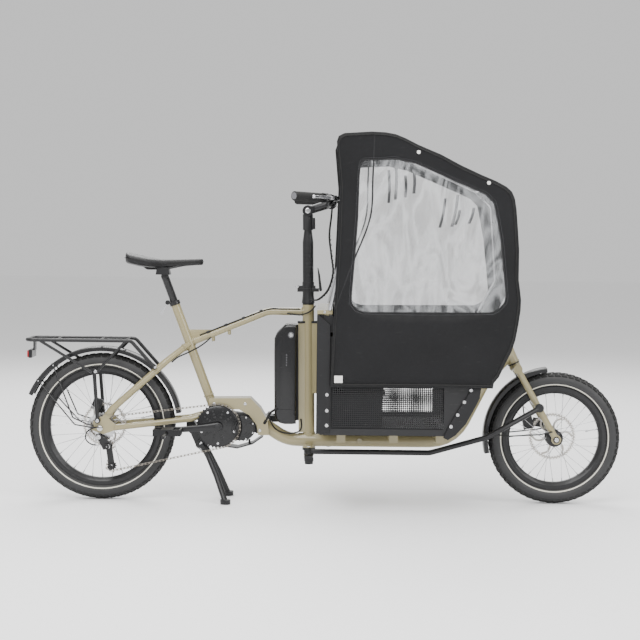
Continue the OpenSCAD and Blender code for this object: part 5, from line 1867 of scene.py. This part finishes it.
@dataclass
class CargoBox:
    """The box in front of the rider, with its bench and cushions.

    Attributes:
        side: Outer face of a side panel.
        pitch: Distance between the holes in a side panel.
    """

    side: float = 273.0
    pitch: float = 7.0

    def build(self) -> None:
        """Builds the box's pieces."""
        refined("box_floor", MOULDED, 1.2)
        refined("box_end_panels", POWDER, 0.8)
        refined("box_corner_covers", MOULDED, 2.0, 34)
        refined("box_rim", PAINT, 0.8, 34)
        refined("seat_bench", MOULDED, 1.6, 34)
        self.mesh_panels()
        self.bolts()
        self.cushions()
        self.belts()

    def mesh_panels(self) -> None:
        """The side panels: plain margins round rows of holes."""
        margins = Shape()
        for side in (1, -1):
            inner, outer = sorted((side * (self.side - 3.0), side * self.side))
            margins.prism([(-2, 266), (413, 266), (440, 287), (443, 292), (-2, 292)], inner, outer)
            margins.prism([(-2, 292), (28, 292), (28, 432), (-2, 432)], inner, outer)
            margins.prism([(406, 292), (443, 292), (465, 320), (487, 359), (507, 402), (516, 432),
                           (406, 432)], inner,
                          outer)
            margins.prism([(-2, 432), (516, 432), (519, 441), (554, 585), (554, 600),
                           (-2, 672)], inner, outer)
        piece(margins.object("panel_margins", bevel=0.3), "frame", POWDER)
        for side in (1, -1):
            tile = holed_tile(self.pitch, self.pitch, 2.5, 3.0, 8)
            name = "perforated_skin_" + ("left" if side > 0 else "right")
            low = at(28, self.side - 3.0 if side > 0 else -self.side, 292)
            skin = Repeat.LATTICE.make(name, tile, POWDER, Columns=54, Rows=20, Pitch=self.pitch * 0.001,
                                       Corner=low * MM, Edge=9.0, Slope=0.0)
            piece(skin, "frame", POWDER, ("box_side_panels",) if side > 0 else ())

    def bolts(self) -> None:
        """Round bolts on the corner covers and the rim."""
        shape = Shape()
        for side in (1, -1):
            for x, z in ((10, 300), (10, 350), (10, 404), (430, 300), (452, 340), (474, 384), (496, 424)):
                shape.disc(at(x, 284.6 * side, z), ACROSS * side, 6.0, 2.2, 20, 0.8)
            for x, z in ((0, 683), (546, 612)):
                shape.disc(at(x, 288 * side, z), ACROSS * side, 4.5, 2.0, 16, 0.6)
        piece(shape.object("cover_bolts"), "frame", STEEL)

    def cushion(self, name: str, outline: list[tuple[float, float]], half: float, node: str) -> None:
        """A foam pad with rounded sides and a sewn channel.

        Args:
            name: Name of the piece.
            outline: Its section, as x and z.
            half: Half of its width.
            node: The CAD node it stands for, or an empty name.
        """
        cx = sum(p[0] for p in outline) / len(outline)
        cz = sum(p[1] for p in outline) / len(outline)
        rings = []
        for k in range(25):
            t = -1 + 2 * k / 24
            swell = 1 - max(0.0, (abs(t) - 0.9) / 0.1) ** 2 * 0.14
            swell -= 0.035 * math.exp(-((abs(t) - 0.34) / 0.03) ** 2) + 0.035 * math.exp(-(t / 0.03) ** 2)
            rings.append([at(cx + (x - cx) * swell, half * t, cz + (z - cz) * swell) for x, z in outline])
        obj = Shape().loft(rings).object(name, 60)
        modifier = obj.modifiers.new("soft", "SUBSURF")
        modifier.levels = modifier.render_levels = 2
        piece(obj, "frame", SEAT, (node,) if node else ())

    def cushions(self) -> None:
        """The seat pad and the back pad."""
        seat = [(54, 404), (56, 430), (70, 446), (130, 450), (196, 452), (210, 440), (208, 420),
                (204, 410), (130, 406)]
        back = [(4, 402), (44, 404), (54, 430), (57, 452), (48, 540), (35, 648), (24, 658),
                (12, 658), (5, 640), (3, 520)]
        self.cushion("seat_pad", seat, 207, "seat_cushion")
        self.cushion("back_pad", back, 207, "")

    def belts(self) -> None:
        """Two harnesses that lie on the cushions."""
        belts, buckles = Shape(), Shape()
        for middle in (-100, 100):
            for side in (1, -1):
                y = middle + 45 * side
                path = smooth_path([at(38, y, 640), at(52, y, 560), at(62, y - 6 * side, 480),
                                    at(88, y - 14 * side, 455), at(120, middle + 14 * side, 456)], 6)
                rings = []
                for p in path:
                    rings.append([p + at(0, -12, 0), p + at(0, 12, 0), p + at(1.2, 12, 1.2),
                                  p + at(1.2, -12, 1.2)])
                belts.loft(rings)
            buckles.box(at(116, middle - 22, 454), at(150, middle + 22, 466))
        piece(belts.object("harness_belts"), "frame", WEBBING)
        piece(buckles.object("harness_buckles", bevel=4.0), "frame", MOULDED)


def thin_sheet(work: bmesh.types.BMesh, name: str, thickness: float,
               offset: float) -> tuple[Item, float]:
    """A smooth sheet with a live thickness.

    Args:
        work: Its faces, which are freed.
        name: Name of the object.
        thickness: Thickness in metres.
        offset: Side on which the thickness lies, from -1 to 1.

    Returns:
        The object, and its area in square metres before it is thickened.
    """
    mesh = bpy.data.meshes.new(name)
    work.to_mesh(mesh)
    work.free()
    obj = bpy.data.objects.new(name, mesh)
    bpy.context.scene.collection.objects.link(obj)
    for polygon in mesh.polygons:
        polygon.use_smooth = True
    thick = obj.modifiers.new("thickness", "SOLIDIFY")
    thick.thickness = thickness
    thick.offset = offset
    return obj, sum(polygon.area for polygon in mesh.polygons)


@dataclass
class Canopy:
    """The rain cover: one curved cloth sheet with clear windows in its sides.

    Attributes:
        side: Outer face of a cloth side.
        outline: Edge of the cloth in a side view, as x and z.
        window: Edge of a side window, as x and z.
    """

    side: float = 299.0
    outline: tuple[tuple[float, float], ...] = (
        (21, 432), (31, 691), (42, 960), (47, 1112), (34, 1255), (40, 1273), (59, 1283),
        (106, 1286), (150, 1289), (197, 1287), (231, 1281), (264, 1268), (308, 1246), (383, 1215),
        (450, 1180), (518, 1149), (569, 1128), (603, 1110), (622, 1093), (632, 1070), (638, 1034), (644, 966),
        (649, 899), (649, 798), (654, 764), (658, 731), (657, 697), (650, 646), (641, 596), (628, 555),
        (608, 515), (588, 471), (571, 450), (568, 432))
    window: tuple[tuple[float, float], ...] = (
        (125, 1194), (232, 1199), (299, 1185), (384, 1149), (485, 1106), (536, 1083),
        (563, 1056), (570, 1026), (588, 932), (599, 831), (608, 747), (603, 720), (580, 696), (557, 686),
        (136, 683), (109, 691), (88, 715), (88, 740), (97, 860), (106, 994), (110, 1146), (114, 1180))

    def build(self) -> None:
        """Builds the canopy's pieces."""
        self.cloth()
        self.trim()
        self.windows()
        refined("canopy_hoops", ALLOY, 0.0, 60)
        self.fastenings()

    def even(self, points: tuple[tuple[float, float], ...], steps: int) -> list[tuple[float, float]]:
        """A closed outline cut into even steps."""
        closed = list(points) + [points[0]]
        lengths = [math.dist(a, b) for a, b in zip(closed, closed[1:])]
        total = sum(lengths)
        out: list[tuple[float, float]] = []
        k, run = 0, 0.0
        for i in range(steps):
            want = total * i / steps
            while run + lengths[k] < want:
                run += lengths[k]
                k += 1
            f = (want - run) / lengths[k]
            (ax, az), (bx, bz) = closed[k], closed[k + 1]
            out.append((ax + (bx - ax) * f, az + (bz - az) * f))
        return out

    def ripple(self, x: float, z: float, side: int) -> float:
        """Slack in a cloth side at a point, in mm."""
        low = noise.noise(Vector((x * 0.006, z * 0.004, 3.1 * side)))
        fine = noise.noise(Vector((x * 0.02, z * 0.012, 9.7 * side)))
        return 1.1 * low + 0.5 * fine

    def cloth(self) -> None:
        """The sheet: two sides and the strip over the roof and front."""
        steps = 420
        outer = self.even(self.outline, steps)
        centre = (350.0, 900.0)
        inner = []
        angles = [math.atan2(z - centre[1], x - centre[0]) for x, z in outer]
        ring = self.even(self.window, 1200)
        around = [math.atan2(z - centre[1], x - centre[0]) for x, z in ring]
        for a in angles:
            best = min(range(len(ring)), key=lambda i: abs(math.remainder(around[i] - a, 2 * math.pi)))
            inner.append(ring[best])
        work = bmesh.new()
        columns = 7
        edge_loops = {}
        for side in (1, -1):
            rows = []
            for (ox, oz), (ix, iz) in zip(outer, inner):
                row = []
                for c in range(columns + 1):
                    f = c / columns
                    x, z = ix + (ox - ix) * f, iz + (oz - iz) * f
                    slack = self.ripple(x, z, side) * math.sin(math.pi * min(1.0, f * 0.9 + 0.1))
                    row.append(work.verts.new((x * MM, side * (self.side - 1.6 - abs(slack)) * MM, z * MM)))
                rows.append(row)
            for i in range(steps):
                j = (i + 1) % steps
                for c in range(columns):
                    face = [rows[i][c], rows[i][c + 1], rows[j][c + 1], rows[j][c]]
                    work.faces.new(face if side > 0 else face[::-1])
            edge_loops[side] = [row[-1] for row in rows]
        start = min(range(steps), key=lambda i: math.dist(outer[i], (48, 1279)))
        stop = min(range(steps), key=lambda i: math.dist(outer[i], (568, 434)))
        span = [(start + k) % steps for k in range((stop - start) % steps + 1)]
        across = 40
        grid = []
        for i in span:
            x, z = outer[i]
            line = []
            for c in range(across + 1):
                f = c / across
                y = (self.side - 1.6) * (1 - 2 * f)
                if c == 0:
                    line.append(edge_loops[1][i])
                elif c == across:
                    line.append(edge_loops[-1][i])
                else:
                    sag = 1.6 * math.sin(math.pi * f) + 1.2 * noise.noise(Vector((x * 0.008,
                                                                                  y * 0.01, z * 0.008)))
                    nx, nz = centre[0] - x, centre[1] - z
                    size = math.hypot(nx, nz)
                    line.append(work.verts.new(((x + nx / size * abs(sag)) * MM, y * MM,
                                                (z + nz / size * abs(sag)) * MM)))
            grid.append(line)
        for a, b in zip(grid, grid[1:]):
            for c in range(across):
                middle = sum((v.co for v in (a[c], a[c + 1], b[c + 1], b[c])), Vector()) / 4 / MM
                if abs(middle.y) < 50 and middle.z < 637 and middle.x > 560:
                    continue
                work.faces.new([a[c], a[c + 1], b[c + 1], b[c]])
        loose = [v for v in work.verts if not v.link_faces]
        bmesh.ops.delete(work, geom=loose, context="VERTS")
        bmesh.ops.recalc_face_normals(work, faces=work.faces[:])
        obj, area = thin_sheet(work, "canopy_sheet", 0.0012, -1)
        piece(obj, "frame", CANOPY, ("canopy",))
        LOG.info("canopy cloth %.2f square metres", area)

    def trim(self) -> None:
        """Piping, window binding, stitches and the rear opening's binding."""
        piping, stitches, binding = Shape(), Shape(), Shape()
        for side in (1, -1):
            y = (self.side - 1.2) * side
            edge = self.even(self.outline, 300)
            inset = [self.pull(p, 10) for p in edge]
            piping.tube([at(x, y, z) for x, z in inset], 2.1, 8, loop=True)
            frame_line = [at(x, (self.side - 1.4) * side, z) for x, z in self.even(self.window, 240)]
            binding.tube(frame_line, 2.2, 8, loop=True)
            dashes = self.even(self.window, 660)
            for i in range(0, 660, 2):
                a, b = self.pull(dashes[i], -7), self.pull(dashes[(i + 1) % 660], -7)
                stitches.tube([at(a[0], (self.side - 0.9) * side, a[1]),
                               at(b[0], (self.side - 0.9) * side, b[1])],
                              0.45, 4)
        for y in (295.0, -295.0):
            binding.tube(smooth_path([at(34, y, 693), at(90, y, 845), at(148, y, 1000), at(156, y, 1140),
                                      at(160, y, 1280)], 8), 3.0, 8)
        for x, z in ((36, 692), (160, 1281)):
            binding.tube([at(x, -292, z), at(x, 292, z)], 3.0, 8)
        piece(piping.object("canopy_piping"), "frame", RUBBER)
        piece(binding.object("window_binding"), "frame", WEBBING)
        piece(stitches.object("canopy_stitches"), "frame", GREY)

    def pull(self, point: tuple[float, float], inwards: float) -> tuple[float, float]:
        """A point moved towards the canopy's middle."""
        dx, dz = 350.0 - point[0], 860.0 - point[1]
        size = math.hypot(dx, dz)
        return point[0] + dx / size * inwards, point[1] + dz / size * inwards

    def windows(self) -> None:
        """Clear side windows with soft wrinkles, and the clear rear wall."""
        for side, name in ((1, "left"), (-1, "right")):
            work = bmesh.new()
            loop = self.even(self.window, 200)
            centre = (350.0, 920.0)
            rows = []
            for f in [1 - k / 26 for k in range(27)]:
                row = []
                for x, z in loop:
                    px, pz = centre[0] + (x - centre[0]) * f, centre[1] + (z - centre[1]) * f
                    wave = 2.2 * noise.noise(Vector((px * 0.010 + pz * 0.004, pz * 0.013, 5.0 * side)))
                    wave += 1.1 * noise.noise(Vector((px * 0.03, pz * 0.02 + px * 0.02, 2.0 * side)))
                    y = self.side - 2.2 - abs(wave) * min(1.0, (1 - f) * 8)
                    row.append(work.verts.new((px * MM, side * y * MM, pz * MM)))
                    if f == 0:
                        break
                rows.append(row)
            for a, b in zip(rows, rows[1:]):
                for i in range(200):
                    j = (i + 1) % 200
                    if len(b) == 1:
                        work.faces.new([a[i], a[j], b[0]])
                    else:
                        work.faces.new([a[i], a[j], b[j], b[i]])
            self.film(work, "window_" + name, ("canopy_windows",) if side > 0 else ())
        work = bmesh.new()
        rows = []
        spine = smooth_path([at(33, 0, 691), at(90, 0, 845), at(148, 0, 1000), at(156, 0, 1140),
                             at(160, 0, 1283)], 14)
        for p in spine:
            row = []
            for k in range(31):
                y = -294 + 588 * k / 30
                wave = 1.5 * noise.noise(Vector((y * 0.012, p.z * 0.01, 7.7)))
                row.append(work.verts.new(((p.x + abs(wave)) * MM, y * MM, p.z * MM)))
            rows.append(row)
        for a, b in zip(rows, rows[1:]):
            for k in range(30):
                work.faces.new([a[k], a[k + 1], b[k + 1], b[k]])
        self.film(work, "rear_window", ())

    def film(self, work: bmesh.types.BMesh, name: str, replaces: tuple[str, ...]) -> None:
        """Finishes a sheet of clear film."""
        bmesh.ops.recalc_face_normals(work, faces=work.faces[:])
        obj, area = thin_sheet(work, name, 0.0006, 0)
        piece(obj, "frame", FILM, replaces)

    def fastenings(self) -> None:
        """Snaps, tie straps and a blank tag."""
        snaps, straps, tag = Shape(), Shape(), Shape()
        for side in (1, -1):
            for x, z in ((308, 1222), (544, 1122)):
                snaps.disc(at(x, (self.side - 1.4) * side, z), ACROSS * side, 6.5, 2.6, 24, 0.9)
            for a, b in (((232, 1184), (233, 1063)), ((293, 1165), (294, 1084)), ((442, 1082), (423, 974)),
                         ((496, 1039), (480, 985))):
                ya = 286 * side
                path = smooth_path([at(a[0], ya, a[1]), at((a[0] + b[0]) / 2 + 3, ya - 3 * side,
                                                           (a[1] + b[1]) / 2),
                                    at(b[0], ya, b[1])], 6)
                straps.loft([[p + at(-5, -0.6, 0), p + at(5, -0.6, 0), p + at(5, 0.6, 0), p + at(-5, 0.6, 0)]
                             for p in path])
        tag.box(at(34, -300.4, 446), at(62, -299.0, 470))
        piece(snaps.object("canopy_snaps"), "frame", TAG)
        piece(straps.object("tie_straps"), "frame", WEBBING)
        piece(tag.object("blank_tag", bevel=0.2), "frame", TAG)


# ---- studio --------------------------------------------------------------------------------


@dataclass
class Studio:
    """Plain floor, soft lights and the camera.

    Attributes:
        distance: Distance of the camera from the bicycle's centre plane, in metres.
        lens: Focal length in millimetres.
    """

    distance: float = 5.9
    lens: float = 94.0

    def build(self) -> None:
        """Builds the studio."""
        floor = self.floor()
        lamps = [
            self.lamp("key", (-1.5, -4.2, 4.6), (0, 0, 0.6), 3.6, 330),
            self.lamp("fill", (4.0, -3.4, 3.2), (0.2, 0, 0.6), 3.4, 190),
            self.lamp("back", (-0.5, 4.2, 4.2), (0, 0, 0.7), 3.6, 230),
            self.lamp("top", (0.0, 0.0, 5.2), (0, 0, 0), 4.4, 210)]
        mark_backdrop(floor, *lamps)
        world = bpy.data.worlds.new("studio_world")
        world.use_nodes = True
        background = world.node_tree.nodes["Background"]
        background.inputs["Color"].default_value = (1, 1, 1, 1)
        background.inputs["Strength"].default_value = 0.8
        bpy.context.scene.world = world
        self.camera()

    def floor(self) -> Item:
        """A pale flat floor, open on every side."""
        shape = Shape()
        rings = [[at(x, -30000, -1), at(x, 30000, -1)] for x in (-30000, 30000)]
        shape.loft(rings, caps=False, closed=False)
        obj = shape.object("studio_floor", 180)
        material = bpy.data.materials.new("studio_floor")
        material.use_nodes = True
        shader = material.node_tree.nodes["Principled BSDF"]
        shader.inputs["Base Color"].default_value = (0.95, 0.95, 0.95, 1)
        shader.inputs["Roughness"].default_value = 0.65
        obj.data.materials.append(material)
        return obj

    def lamp(self, name: str, place: tuple[float, float, float], target: tuple[float, float,
                                                                               float], size: float,
             power: float) -> Item:
        """A square area light that faces a point."""
        data = bpy.data.lights.new(name + "_light", "AREA")
        data.energy = power
        data.size = size
        obj = bpy.data.objects.new(name + "_light", data)
        obj.location = place
        obj.rotation_euler = (Vector(target) - Vector(place)).to_track_quat("-Z", "Y").to_euler()
        bpy.context.scene.collection.objects.link(obj)
        return obj

    def camera(self) -> None:
        """The camera on the right side, a little above the axles."""
        data = bpy.data.cameras.new("studio_camera")
        data.lens = self.lens
        data.sensor_width = 36
        data.clip_end = 60
        obj = bpy.data.objects.new("studio_camera", data)
        place = Vector((-0.016, -self.distance, 0.94))
        aim = Vector((-0.016, 0, 0.642)) - place
        turn = aim.to_track_quat("-Z", "Y")
        obj.location = place
        obj.rotation_euler = (turn.to_matrix() @ Matrix.Rotation(math.radians(0.6), 3, "Z")).to_euler()
        bpy.context.scene.collection.objects.link(obj)
        bpy.context.scene.camera = obj


def write_size(before: object, after: object) -> None:
    """Turns the sizes before and after the looks were made into plain lists, which are not kept.

    Args:
        before: Bounds right after the frame was loaded.
        after: Bounds just before it is finished.
    """
    def plain(value: object) -> object:
        """The value as plain lists of numbers."""
        if hasattr(value, "items"):
            return {k: plain(v) for k, v in value.items()}
        if hasattr(value, "__len__") and not isinstance(value, str):
            return [plain(v) for v in value]
        return float(value)

    {"before": plain(before), "after": plain(after)}


def main() -> None:
    """Builds every sub-assembly in order, and measures the bounds before and after."""
    logging.basicConfig(level=logging.INFO, format="%(message)s")
    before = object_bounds()
    FrameSet().build()
    MotorUnit().build()
    Battery().build()
    CentreStand().build()
    SaddleSet().build()
    CarrierAndGuards().build()
    Wheel("rear", "rear_wheel", "rear_wheel_spin", 259, 56, 26.5, (-34, 60), 80, 54, 220, 64).build()
    Wheel("front", "front_wheel", "front_wheel_spin", 233, 56, 24, (-48, 48), 85, 44, 190.5, 58).build()
    Drive().build()
    Cockpit().build()
    ForkAndLink().build()
    CargoBox().build()
    Canopy().build()
    Studio().build()
    write_size(before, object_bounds())


if __name__ == "__main__":
    main()
